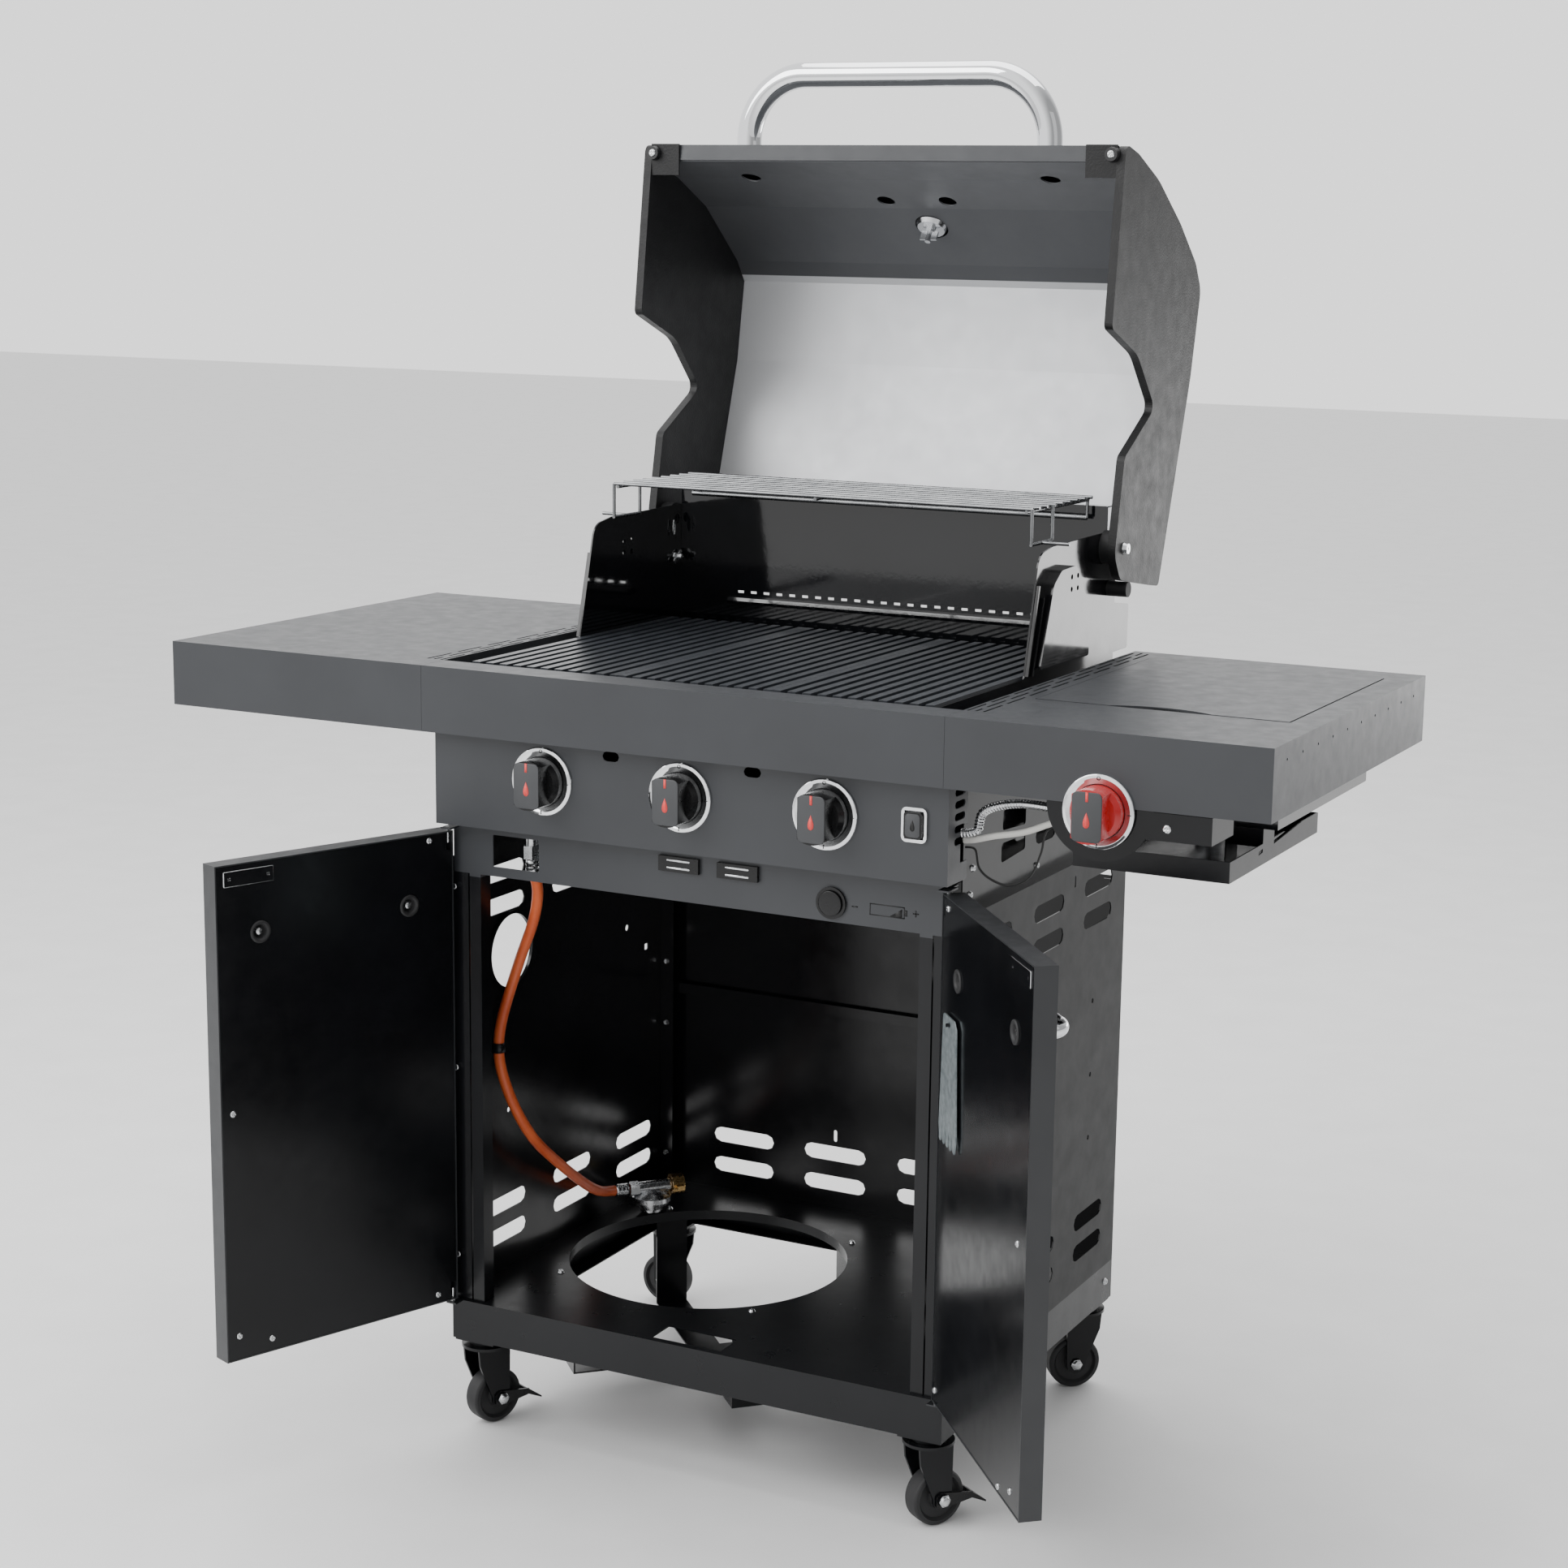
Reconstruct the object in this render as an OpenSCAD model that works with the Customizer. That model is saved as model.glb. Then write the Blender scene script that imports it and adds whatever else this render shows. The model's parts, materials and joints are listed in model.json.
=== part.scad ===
// Three-burner gas barbecue on a two-door cart, with a side burner under the right shelf lid.
// It stands open: the lid is back on its stops and both doors are swung out.
// X points right, Y to the back and Z up. The origin is on the ground, at the middle
// of the open barbecue's box. Millimetres.

/* [Cart] */
// Width of the cart base
cart_w = 632; // [560:1:760]
// Depth of the cart base
cart_d = 500; // [450:1:600]
// Setback of the cart base behind the console front
cart_setback = 43; // [36:1:60]
// Height of the base pan
base_h = 48; // [36:1:70]
// Height of the cabinet floor above the ground
floor_z = 158; // [140:1:200]
// Thickness of the sheet metal
sheet = 1.5; // [1:0.1:2]
// Diameter of the opening for the gas bottle
bottle_d = 340; // [260:1:380]
// Sideways place of the gas bottle opening
bottle_x = -120; // [-130:1:110]
// Height of the cabinet side panels' top edge
side_top = 688; // [640:1:700]
// Height of the cabinet back panel's top edge
back_top = 640; // [560:1:645]

/* [Worktop] */
// Height of the worktop above the ground
worktop_z = 914; // [900:1:990]
// Width of the console between the shelves
console_w = 640; // [600:1:760]
// Width of each side shelf
shelf_w = 348; // [330:1:420]
// Depth of the side shelves
shelf_d = 538; // [510:1:600]
// Height of the shelf and console fronts
shelf_h = 74.5; // [60:0.5:80]
// Depth of the console's top flange
flange_d = 45; // [40:1:52]
// Width of the side burner lid
side_lid_w = 280; // [230:1:290]
// Depth of the side burner lid
side_lid_d = 338; // [280:1:360]

/* [Lid] */
// Outside width of the lid over its end caps
lid_w = 624; // [580:1:640]
// Thickness of the lid end caps
cap_t = 10; // [6:1:14]
// Distance between the lid handle's legs
handle_w = 394; // [300:1:460]
// Diameter of the lid handle's tube
handle_d = 30; // [20:1:32]
// Height of the lid handle over the lid
handle_h = 92; // [80:1:110]

/* [Doors] */
// Gap between the shut doors
door_gap = 20; // [4:1:30]
// Thickness of the doors
door_t = 24; // [18:1:26]
// Height of the doors
door_h = 560; // [500:1:561]
// Opening angle of the left door, in degrees
left_open = 111; // [0:1:130]
// Opening angle of the right door, in degrees
right_open = 131; // [0:1:132]
// Diameter of the door handle tubes
pull_d = 18; // [12:1:22]

/* [Controls] */
// Distance between the burner knobs
knob_pitch = 175; // [150:1:190]
// Diameter of the knobs
knob_d = 55; // [40:1:58]
// Outside diameter of the knob rings
ring_d = 77; // [66:1:90]
// How far the knobs stand out
knob_h = 32; // [22:1:40]

/* [Casters] */
// Diameter of the caster wheels
wheel_d = 65; // [55:1:75]
// Thickness of the caster wheels
wheel_t = 24; // [18:1:28]
// Trail of the wheel axle behind the swivel
trail = 9; // [4:1:14]

/* [Cooking area] */
// Number of slots in each cooking grate
grate_slots = 10; // [8:1:12]
// Distance between the grate bars
grate_pitch = 17.95; // [16:0.05:18]
// Width of the slots in the grates
grate_gap = 7.8; // [6:0.1:10]
// Depth of the cooking grates
grate_d = 448; // [420:1:452]
// Height of the warming rack over the worktop
rack_h = 180; // [174:1:200]

/* [Hidden] */

paint = "#3d4147";
black = "#17181b";
chrome = "#d4d6d9";
zinc = "#a9adb2";
steel = "#8c9096";
enamel = "#101114";
rubber = "#222222";
eps = 0.01;
slack = 0.3;
round_fn = 48;

// Places that several parts share
base_z = floor_z - base_h;
cart_back = cart_setback + cart_d;
frame_front = cart_setback + 5;
wall_x = cart_w / 2;
bottle_y = cart_setback + 264;
shelf_x = console_w / 2;
skirt_z = worktop_z - shelf_h;
panel_front = 22;
panel_back = 70;
panel_w = console_w - 6;
panel_low = skirt_z - 108;
brace_top = panel_low - 6;
brace_low = brace_top - 54;

// Lid, in its open pose, as points [y, z, corner radius] from the hinge
hinge_y = 511;
hinge_z = worktop_z + 123;
cap_outline = [[-36, 458, 10], [-62, 254, 8], [22, 222, 60], [84, 158, 12], [-8, 106, 12],
    [-30, -6, 26], [-10, -36, 20], [118, -56, 8], [204, 189, 60], [229, 293, 26], [208, 325, 40],
    [150, 371, 120], [72, 420, 140], [4, 448, 60]];
shell_path = [[-36, 438], [-34, 456], [4, 445], [71, 417.5], [148.5, 369], [206, 323.5],
    [226.5, 293], [202, 190], [122, -40]];
liner_path = [[-33.5, 438], [27, 419], [97, 386], [181, 318], [201, 291], [184, 190], [138, 45], [112, -40]];
rim_low = 438;

// Doors: the pivot is near the hinge-side inner corner of each door
pivot_x = wall_x - 4;
pivot_y = frame_front - 11;
door_back = frame_front - 6;
door_low = floor_z + 3;
door_w = wall_x - door_gap / 2;
door_high = door_low + door_h;
pin_d = 4;
pin_clear = 0.05;

// Casters
caster_x = wall_x - 28;
caster_front = cart_setback + 28;
caster_rear = cart_back - 28;
axle_z = wheel_d / 2;
axle_d = 8;
plate_t = 3;
race_h = 6;
fork_top = base_z - plate_t - race_h - slack;
fork_disc = 3.5;
cheek_t = 3;
cheek_gap = wheel_t / 2 + 2;
arm_t = 2;
turn_front_left = 68;
turn_front_right = 58;
turn_rear_left = 182;
turn_rear_right = 220;

// Controls
knob_z = skirt_z - 46;
ring_t = 4;
shaft_d = 8;
side_knob_x = shelf_x + 170;
side_knob_z = skirt_z - 6;
igniter_x = 279;
igniter_w = 21;
igniter_h = 29;
battery_x = 171;
battery_d = 35;
battery_z = brace_low + 21;

// Cooking area
plate_x = 286;
plate_t2 = 2;
grate_top = worktop_z + 1;
grate_t = 12;
grate_w = grate_slots * grate_pitch + grate_pitch - grate_gap;
grate_front = flange_d + 5;
wall_front = flange_d + 2;
tub_front = 92;
wall_rear = hinge_y + 11;
wall_rear_top = hinge_z + 45;
side_top_z = hinge_z + 17;
firebox_low = worktop_z - 200;
shield_x = wall_x - 16;
rack_z = worktop_z + rack_h;
rack_front = 332;
rack_back = wall_rear - 10;
rod_d = 4;
rack_foot = side_top_z + 0.6;
burner_d = 25;
burner_z = worktop_z - 94;

// Side burner
side_lid_x = shelf_x + 35;
side_lid_y = 151;
lid_edge_gap = 1.5;
bowl_w = side_lid_w - 24;
bowl_d = side_lid_d - 24;
bowl_low = worktop_z - 115;
bowl_x = side_lid_x + 12;
bowl_y = side_lid_y + 12;

// Gas hose, from the inlet behind the front frame down to the regulator by the bottle opening
hose_d = 13;
hose_route = [[-226, 80, 689.2], [-226, 81, 676], [-232, 100, 648], [-250, 120, 608], [-277, 134, 557],
    [-296, 135, 505], [-303, 130, 472], [-304, 126, 444], [-300, 126, 415], [-292, 140, 370],
    [-282, 166, 324], [-276, 211, 282], [-277, 264, 243], [-287, 312, 216], [-297, 352, 199],
    [-295.5, 376.5, 193], [-285, 390.8, 192]];
reg_at = [-284, 392, 192];
reg_turn = 50;

// Box of the open barbecue, front and back, which sets the origin
function door_free(open) = [-pivot_x + (door_w - 4) * cos(open) + (door_back - pivot_y) * sin(open),
    pivot_y - (door_w - 4) * sin(open) + (door_back - pivot_y) * cos(open)];
box_front = min(door_free(left_open)[1], door_free(right_open)[1], 0 - knob_h);
box_back = hinge_y + max([for (p = rounded(cap_outline)) p[0]]);
front_y = -(box_front + box_back) / 2;

// ---------- helpers ----------

function turned(v, a) = [v[0] * cos(a) - v[1] * sin(a), v[0] * sin(a) + v[1] * cos(a)];
function unit(v) = v / norm(v);

// Arc that rounds the corner p between a and b
function corner(a, p, b, r, steps = 8) =
    let (u = unit(a - p), w = unit(b - p), half = acos(u * w) / 2,
        middle = p + unit(u + w) * r / sin(half),
        start = p + u * r / tan(half) - middle, stop = p + w * r / tan(half) - middle,
        turn = (180 - 2 * half) * sign(cross(start, stop)))
    r == 0 ? [p] : [for (i = [0:steps]) middle + turned(start, turn * i / steps)];

// Closed outline with each corner rounded by the radius in its third value
function rounded(path, steps = 8) =
    let (n = len(path), at = [for (p = path) [p[0], p[1]]])
    [for (i = [0:n - 1]) each corner(at[(i + n - 1) % n], at[i], at[(i + 1) % n], path[i][2], steps)];

// Open path moved sideways by d
function shifted(path, d) =
    let (n = len(path))
    [for (i = [0:n - 1])
        let (into = unit(path[max(i, 1)] - path[max(i, 1) - 1]),
            out = unit(path[min(i, n - 2) + 1] - path[min(i, n - 2)]),
            side = unit([-into[1] - out[1], into[0] + out[0]]))
        path[i] + side * d / (side * [-into[1], into[0]])];

// Strip of thickness t along an open path
function strip(path, t) =
    let (other = shifted(path, t), n = len(path))
    concat(path, [for (i = [n - 1:-1:0]) other[i]]);

// Slot with round ends, centred
function slot(l, h, steps = 4) = concat(
    [for (i = [0:steps]) [l / 2 - h / 2, 0] + turned([0, -h / 2], 180 * i / steps)],
    [for (i = [0:steps]) [h / 2 - l / 2, 0] + turned([0, h / 2], 180 * i / steps)]);

module at_origin() translate([0, front_y, 0]) children();

// Extrudes an outline in (x, z) towards the back
module wall_xz(t) translate([0, t, 0]) rotate([90, 0, 0]) linear_extrude(t) children();

// Extrudes an outline in (y, z) towards the right
module wall_yz(t) rotate([90, 0, 90]) linear_extrude(t) children();

// Box between two corners
module block(low, high) translate(low) cube(high - low);

// Box of thin walls, open at the bottom
module cover(low, high, t) difference() {
    block(low, high);
    block([low[0] + t, low[1] + t, low[2] - 1], high - [t, t, t]);
}

module rod_x(x0, x1, y, z, d) translate([x0, y, z]) rotate([0, 90, 0]) cylinder(d = d, h = x1 - x0, $fn = 24);
module rod_y(y0, y1, x, z, d) translate([x, y0, z]) rotate([-90, 0, 0]) cylinder(d = d, h = y1 - y0, $fn = 24);
module rod_z(z0, z1, x, y, d) translate([x, y, z0]) cylinder(d = d, h = z1 - z0, $fn = 24);

// Tube swept along a route of points, as one closed skin
module swept(route, d, sides = 10) {
    n = len(route);
    way = [for (i = [0:n - 1]) unit(route[min(i + 1, n - 1)] - route[max(i - 1, 0)])];
    ref = [1, 0.2, 0.1];
    ring = [for (i = [0:n - 1]) let (u = unit(cross(way[i], ref)), v = cross(way[i], u))
        for (k = [0:sides - 1]) route[i] + (u * cos(360 * k / sides) + v * sin(360 * k / sides)) * d / 2];
    polyhedron(ring, concat(
        [[for (k = [0:sides - 1]) k]],
        [for (i = [0:n - 2]) for (k = [0:sides - 1])
            let (a = i * sides + k, b = i * sides + (k + 1) % sides) [b, a, a + sides, b + sides]],
        [[for (k = [sides - 1:-1:0]) (n - 1) * sides + k]]));
}

// Points on a smooth curve through the route, a few between each pair
function smooth(route, steps = 3) =
    let (n = len(route))
    concat([for (i = [0:n - 2]) for (s = [0:steps - 1])
        let (a = route[max(i - 1, 0)], b = route[i], c = route[i + 1], d = route[min(i + 2, n - 1)], t = s / steps)
        b + 0.5 * t * (c - a + t * (2 * a - 5 * b + 4 * c - d + t * (3 * (b - c) + d - a)))],
        [route[n - 1]]);

// ---------- cart ----------

module base_pan() color(paint) at_origin() difference() {
    union() {
        difference() {
            block([-wall_x, cart_setback, base_z], [wall_x, cart_back, floor_z]);
            block([-wall_x + sheet, cart_setback + sheet, base_z + sheet],
                [wall_x - sheet, cart_back - sheet, floor_z - sheet]);
            block([-wall_x + 24, cart_setback + 24, base_z - 1], [wall_x - 24, cart_back - 24, base_z + 5]);
        }
        translate([bottle_x, bottle_y, floor_z - 12]) cylinder(d = bottle_d + 2 * sheet, h = 12, $fn = 120);
        for (x = [-pivot_x - 4, pivot_x - 9]) block([x, pivot_y - 7, floor_z - sheet], [x + 13, cart_setback + 4, floor_z]);
        for (x = [-caster_x, caster_x], y = [caster_front, caster_rear]) translate([x, y, base_z])
            caster_mount();
    }
    translate([bottle_x, bottle_y, floor_z - 20]) cylinder(d = bottle_d, h = 30, $fn = 120);
    block([-51, cart_setback + 9, floor_z - sheet - 1], [38, cart_setback + 48, floor_z + 1]);
}

// Plate, race and king pin under one corner of the base
module caster_mount() {
    translate([-26, -26, -plate_t]) cube([52, 52, plate_t + eps]);
    translate([0, 0, -plate_t - race_h]) cylinder(d = 40, h = race_h, $fn = round_fn);
    translate([0, 0, -plate_t - race_h - 2 * slack - fork_disc]) cylinder(d = 10, h = 8, $fn = round_fn);
    translate([0, 0, -plate_t - race_h - 2 * slack - fork_disc - 2]) cylinder(d = 16, h = 2, $fn = round_fn);
}

// Two crossed straps that hold the foot of the bottle under its opening
module bottle_straps() color(black) at_origin() translate([bottle_x, bottle_y, 0]) {
    rotate(45) bottle_strap(36);
    rotate(135) bottle_strap(37);
}
module bottle_strap(low) {
    reach = bottle_d / 2 + sheet + 2.5;
    high = floor_z - sheet;
    block([-reach, -20, low - 2], [reach, 20, low]);
    for (s = [-1, 1]) scale([s, 1, 1]) {
        block([reach - 2, -20, low - 2], [reach, 20, high]);
        block([reach - 2, -20, high - 2], [reach + 24, 20, high]);
    }
}

// Centres of the vent slots along a side panel
slot_ys = [for (y = [-1:1]) (frame_front + cart_back) / 2 + 10 + y * 0.3 * cart_d];
slot_zs = [floor_z + 46, floor_z + 84, side_top - 77, side_top - 38];

module side_sheet() difference() {
    translate([frame_front, floor_z]) square([cart_back - frame_front, side_top - floor_z]);
    for (y = slot_ys, z = slot_zs) translate([y, z]) polygon(slot(88, 20));
    children();
}
// Folded front edge of a side panel, and the heat shield that rises from it beside the firebox
module side_fold() {
    block([wall_x - 24, frame_front, floor_z], [wall_x - sheet / 2, frame_front + sheet, brace_low]);
    block([shield_x, tub_front + 4, side_top - sheet], [wall_x - sheet / 2, cart_back - 4, side_top]);
    translate([shield_x, 0, 0]) wall_yz(sheet) difference() {
        translate([tub_front + 4, side_top - sheet]) square([cart_back - tub_front - 8, skirt_z - side_top - 2]);
        translate([232, skirt_z - 73]) polygon(rounded([[-32, -9, 4], [32, -13, 4], [32, 13, 4], [-32, 13, 4]]));
        translate([231, skirt_z - 106]) polygon(rounded([[-33, -12, 4], [33, -8, 4], [33, 8, 4], [-33, 10, 4]]));
        translate([323, skirt_z - 107]) polygon(slot(58, 18));
    }
}

module side_panel_left() color(paint) at_origin() {
    translate([-wall_x, 0, 0]) difference() {
        wall_yz(sheet) side_sheet() {
            translate([482, 482]) square(8);
            translate([438, 521]) circle(d = 8, $fn = 24);
            translate([163, 356]) circle(d = 7, $fn = 24);
        }
        translate([-1, frame_front + 121, brace_low - 120]) rotate([0, 90, 0]) cylinder(d = 88, h = 9, $fn = 64);
    }
    translate([-wall_x, frame_front + 121, brace_low - 120]) rotate([0, 90, 0]) difference() {
        cylinder(d = 96, h = 4, $fn = 64);
        translate([0, 0, -1]) cylinder(d = 88, h = 9, $fn = 64);
    }
    mirror([1, 0, 0]) side_fold();
}

module side_panel_right() color(paint) at_origin() {
    translate([wall_x - sheet, 0, 0]) wall_yz(sheet) side_sheet() {
        for (z = [341, 419, 509]) translate([448, z]) circle(d = 6, $fn = 24);
        translate([382, side_top - 22]) rotate(90) polygon(slot(14, 4));
    }
    side_fold();
}

module back_panel() color(paint) at_origin() {
    half = wall_x - sheet - slack;
    rail_z = 416;
    difference() {
        translate([-half, 0, 0]) wall_yz(2 * half) polygon(strip([[cart_back, floor_z], [cart_back, rail_z],
            [cart_back - 9, rail_z + 2], [cart_back - 9, rail_z + 13], [cart_back, rail_z + 15], [cart_back, back_top]], sheet));
        for (x = [-1.5:1.5], z = [floor_z + 33, floor_z + 73]) translate([x * 0.21 * cart_w, cart_back - 4, z])
            wall_xz(6) polygon(slot(88, 20));
        for (x = [-66, 66]) translate([x, cart_back - 4, floor_z + 97]) wall_xz(6) rotate(90) polygon(slot(16, 5));
    }
    for (s = [-1, 1]) scale([s, 1, 1]) {
        block([half - sheet, cart_back - 20, floor_z], [half, cart_back - eps, back_top]);
        block([half - 18, cart_back - 20, floor_z], [half, cart_back - 20 + sheet, back_top]);
    }
}

// Two posts and the brace that joins them under the control panel
module front_frame() color(black) at_origin() {
    for (s = [-1, 1]) scale([s, 1, 1]) {
        difference() {
            block([wall_x - 41, frame_front, floor_z], [wall_x - 26, frame_front + 20, brace_low + 10]);
            block([wall_x - 41 + sheet, frame_front + sheet, floor_z - 1],
                [wall_x - 26 - sheet, frame_front + 20 - sheet, brace_low + 11]);
        }
        difference() {
            block([pivot_x - 9, pivot_y - 8, brace_top - 2], [pivot_x + 4, frame_front + 4, brace_top]);
            rod_z(brace_top - 3, brace_top + 1, pivot_x, pivot_y, pin_d);
        }
    }
    difference() {
        block([5 - wall_x, frame_front, brace_low], [wall_x - 5, frame_front + 16, brace_top]);
        block([4 - wall_x, frame_front + sheet, brace_low + sheet], [wall_x - 4, frame_front + 17, brace_top - sheet]);
        block([-wall_x + 58, frame_front - 1, brace_low + 11], [-wall_x + 119, frame_front + 3, brace_top - 6]);
        translate([battery_x, frame_front - 1, battery_z]) rotate([-90, 0, 0]) cylinder(d = 25, h = 5, $fn = round_fn);
        for (s = [-1, 1]) block([min(s * (wall_x - 42), s * (wall_x - 25)), frame_front + sheet, brace_low - 1],
            [max(s * (wall_x - 42), s * (wall_x - 25)), frame_front + 17, brace_low + sheet + 1]);
    }
}

// Two door magnets on the brace and the clip that holds the hose to the side panel
module cabinet_clips() color(black) at_origin() {
    for (x = [-15, 58]) block([x - 25, frame_front - 4.5, brace_top - 21], [x + 25, frame_front, brace_top - 4]);
    block([-wall_x + sheet, 118, 436], [-wall_x + 5, 134, 452]);
}

module screw_head(d = 9, h = 2.6) difference() {
    cylinder(d1 = d, d2 = d - 3, h = h, $fn = 24);
    translate([0, 0, h - 0.8]) for (a = [0, 90]) rotate(a) translate([-2.5, -0.6, 0]) cube([5, 1.2, 2]);
}

// Screw heads, door pivot pins and the lid's hinge bolts, all fixed to the cart
module cart_fasteners() color(zinc) at_origin() {
    for (a = [45:90:315]) translate([bottle_x, bottle_y, floor_z])
        rotate(a) translate([bottle_d / 2 + 15, 0, 0]) screw_head();
    for (s = [-1, 1]) {
        rod_z(floor_z, floor_z + 16, s * pivot_x, pivot_y, pin_d);
        rod_z(door_high - 14, brace_top, s * pivot_x, pivot_y, pin_d);
        rod_z(floor_z, door_low - slack, s * pivot_x, pivot_y, 8);
        translate([s * (lid_w / 2 + slack), hinge_y, hinge_z]) rotate([0, s * 90, 0]) screw_head(15, 5);
        rod_x(min(s * (plate_x + 15), s * (lid_w / 2 + slack)), max(s * (plate_x + 15), s * (lid_w / 2 + slack)),
            hinge_y, hinge_z, 8);
        for (y = [cart_setback + 24, cart_back - 22]) translate([s * wall_x, y, base_z + 26])
            rotate([0, s * 90, 0]) screw_head();
        for (p = [[121, 43], [298, 12], [115, 15]]) translate([s * (shield_x + sheet), p[0], side_top + p[1]])
            rotate([0, s * 90, 0]) screw_head();
    }
    for (z = [196, 373, 455]) translate([-wall_x + 10, cart_back - 20, z + 4]) rotate([90, 0, 0]) screw_head(8, 2);
}

// ---------- casters ----------

// Places the children at a corner, turned about the swivel
module at_caster(side, rear, turn) translate([side * caster_x, rear ? caster_rear : caster_front, 0])
    rotate(turn) children();

// Fork with its riveted axle; the wheel trails towards local +X
module caster_fork(with_brake) color(black) {
    difference() {
        translate([0, 0, fork_top - fork_disc]) cylinder(d = 58, h = fork_disc, $fn = round_fn);
        translate([0, 0, fork_top - fork_disc - 1]) cylinder(d = 10.16, h = fork_disc + 2, $fn = round_fn);
    }
    for (s = [-1, 1]) translate([0, s * cheek_gap + (s > 0 ? 0 : -cheek_t), 0]) wall_xz(cheek_t) union() {
        polygon([[-22, fork_top - fork_disc + 1], [22, fork_top - fork_disc + 1], [trail + 12, axle_z + 2],
            [trail - 12, axle_z + 2], [-20, fork_top - 24]]);
        translate([trail, axle_z]) circle(d = 24, $fn = 32);
    }
    reach = cheek_gap + cheek_t + (with_brake ? arm_t + 2 * slack : 0);
    rod_y(-reach, reach, trail, axle_z, axle_d);
    for (s = [-1, 1]) rod_y(s > 0 ? reach : -reach - 2.5, s > 0 ? reach + 2.5 : -reach, trail, axle_z, 14);
}

module caster_wheel() color(rubber) translate([trail, 0, axle_z]) rotate([90, 0, 0])
    rotate_extrude($fn = 64) polygon(concat(
        [[axle_d / 2 + 0.05, -wheel_t / 2], [11, -wheel_t / 2], [13, -wheel_t / 2 + 4], [wheel_d / 2 - 9, -wheel_t / 2 + 4],
            [wheel_d / 2 - 6, -wheel_t / 2]],
        [for (a = [-60:20:60]) [wheel_d / 2 - 5 + 5 * cos(a), (wheel_t / 2 - 5) * sign(a) + 5 * sin(a)]],
        [[wheel_d / 2 - 6, wheel_t / 2], [wheel_d / 2 - 9, wheel_t / 2 - 4], [13, wheel_t / 2 - 4], [11, wheel_t / 2],
            [axle_d / 2 + 0.05, wheel_t / 2]]));

// Brake lever: two arms on the axle and a pedal behind the wheel
module caster_brake() color(black) translate([trail, 0, axle_z]) {
    inner = cheek_gap + cheek_t + slack;
    difference() {
        union() {
            for (s = [-1, 1]) translate([0, s > 0 ? inner : -inner - arm_t, 0]) wall_xz(arm_t)
                polygon([[-9, -6], [-3, -10], [wheel_d / 2 + 6, -5], [wheel_d / 2 + 6, 2], [-3, 9], [-9, 5]]);
            translate([0, -inner - arm_t, 0]) wall_xz(2 * (inner + arm_t)) polygon([[wheel_d / 2 + 3, -4],
                [wheel_d / 2 + 24, -14], [wheel_d / 2 + 24, -12], [wheel_d / 2 + 5, 2], [wheel_d / 2 + 3, 2]]);
        }
        translate([0, 60, 0]) rotate([90, 0, 0]) cylinder(d = axle_d + 0.1, h = 120, $fn = 32);
    }
}

module fork_front_left() at_origin() at_caster(-1, false, turn_front_left) caster_fork(true);
module fork_front_right() at_origin() at_caster(1, false, turn_front_right) caster_fork(true);
module fork_rear_left() at_origin() at_caster(-1, true, turn_rear_left) caster_fork(false);
module fork_rear_right() at_origin() at_caster(1, true, turn_rear_right) caster_fork(false);
module wheel_front_left() at_origin() at_caster(-1, false, turn_front_left) caster_wheel();
module wheel_front_right() at_origin() at_caster(1, false, turn_front_right) caster_wheel();
module wheel_rear_left() at_origin() at_caster(-1, true, turn_rear_left) caster_wheel();
module wheel_rear_right() at_origin() at_caster(1, true, turn_rear_right) caster_wheel();
module brake_front_left() at_origin() at_caster(-1, false, turn_front_left) caster_brake();
module brake_front_right() at_origin() at_caster(1, false, turn_front_right) caster_brake();

// ---------- doors ----------

// A left door in its shut place; the right one is its mirror image
module door_shell_shut() difference() {
    block([-wall_x, door_back - door_t, door_low], [-door_gap / 2, door_back, door_high]);
    block([-wall_x + sheet, door_back - door_t + sheet, door_low + sheet],
        [-door_gap / 2 - sheet, door_back + 1, door_high - sheet]);
    rod_z(door_low - 1, door_high + 1, -pivot_x, pivot_y, pin_d + 2 * pin_clear);
}

pull_z = door_high - 79;
pull_near = -pivot_x + 56;
pull_far = -pivot_x + 248;

module door_liner_shut() {
    fit = sheet + slack;
    difference() {
        block([-wall_x + fit, door_back - 10, door_low + fit], [-door_gap / 2 - fit, door_back - 0.5, door_high - fit]);
        block([-wall_x + fit + sheet, door_back - 11, door_low + fit + sheet],
            [-door_gap / 2 - fit - sheet, door_back - 0.5 - sheet, door_high - fit - sheet]);
        for (x = [pull_near, pull_far]) rod_y(door_back - 12, door_back + 1, x, pull_z, 20);
        block([-wall_x, door_back - 12, door_low - 1], [-pivot_x + 5, door_back + 1, door_low + 22]);
        block([-wall_x, door_back - 12, door_high - 22], [-pivot_x + 5, door_back + 1, door_high + 1]);
    }
    block([-door_gap / 2 - 71, door_back - 0.6, door_high - 24], [-door_gap / 2 - 11, door_back + 0.6, door_high - 8]);
}

// Tube handle on the front of a shut left door
module door_pull_shut() {
    bend = 16;
    out = door_back - door_t - 26;
    for (x = [pull_near, pull_far]) {
        rod_y(out + bend, door_back - door_t, x, pull_z, pull_d);
        rod_y(door_back - door_t - 2, door_back - door_t, x, pull_z, pull_d + 6);
    }
    rod_x(pull_near + bend, pull_far - bend, out, pull_z, pull_d);
    translate([pull_near + bend, out + bend, pull_z]) rotate(180) rotate_extrude(angle = 90, $fn = 48)
        translate([bend, 0]) circle(d = pull_d, $fn = 24);
    translate([pull_far - bend, out + bend, pull_z]) rotate(270) rotate_extrude(angle = 90, $fn = 48)
        translate([bend, 0]) circle(d = pull_d, $fn = 24);
}

module left_door() at_origin() translate([-pivot_x, pivot_y, 0]) rotate(-left_open) translate([pivot_x, -pivot_y, 0])
    children();
module right_door() at_origin() translate([pivot_x, pivot_y, 0]) rotate(right_open) translate([-pivot_x, -pivot_y, 0])
    mirror([1, 0, 0]) children();

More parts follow.
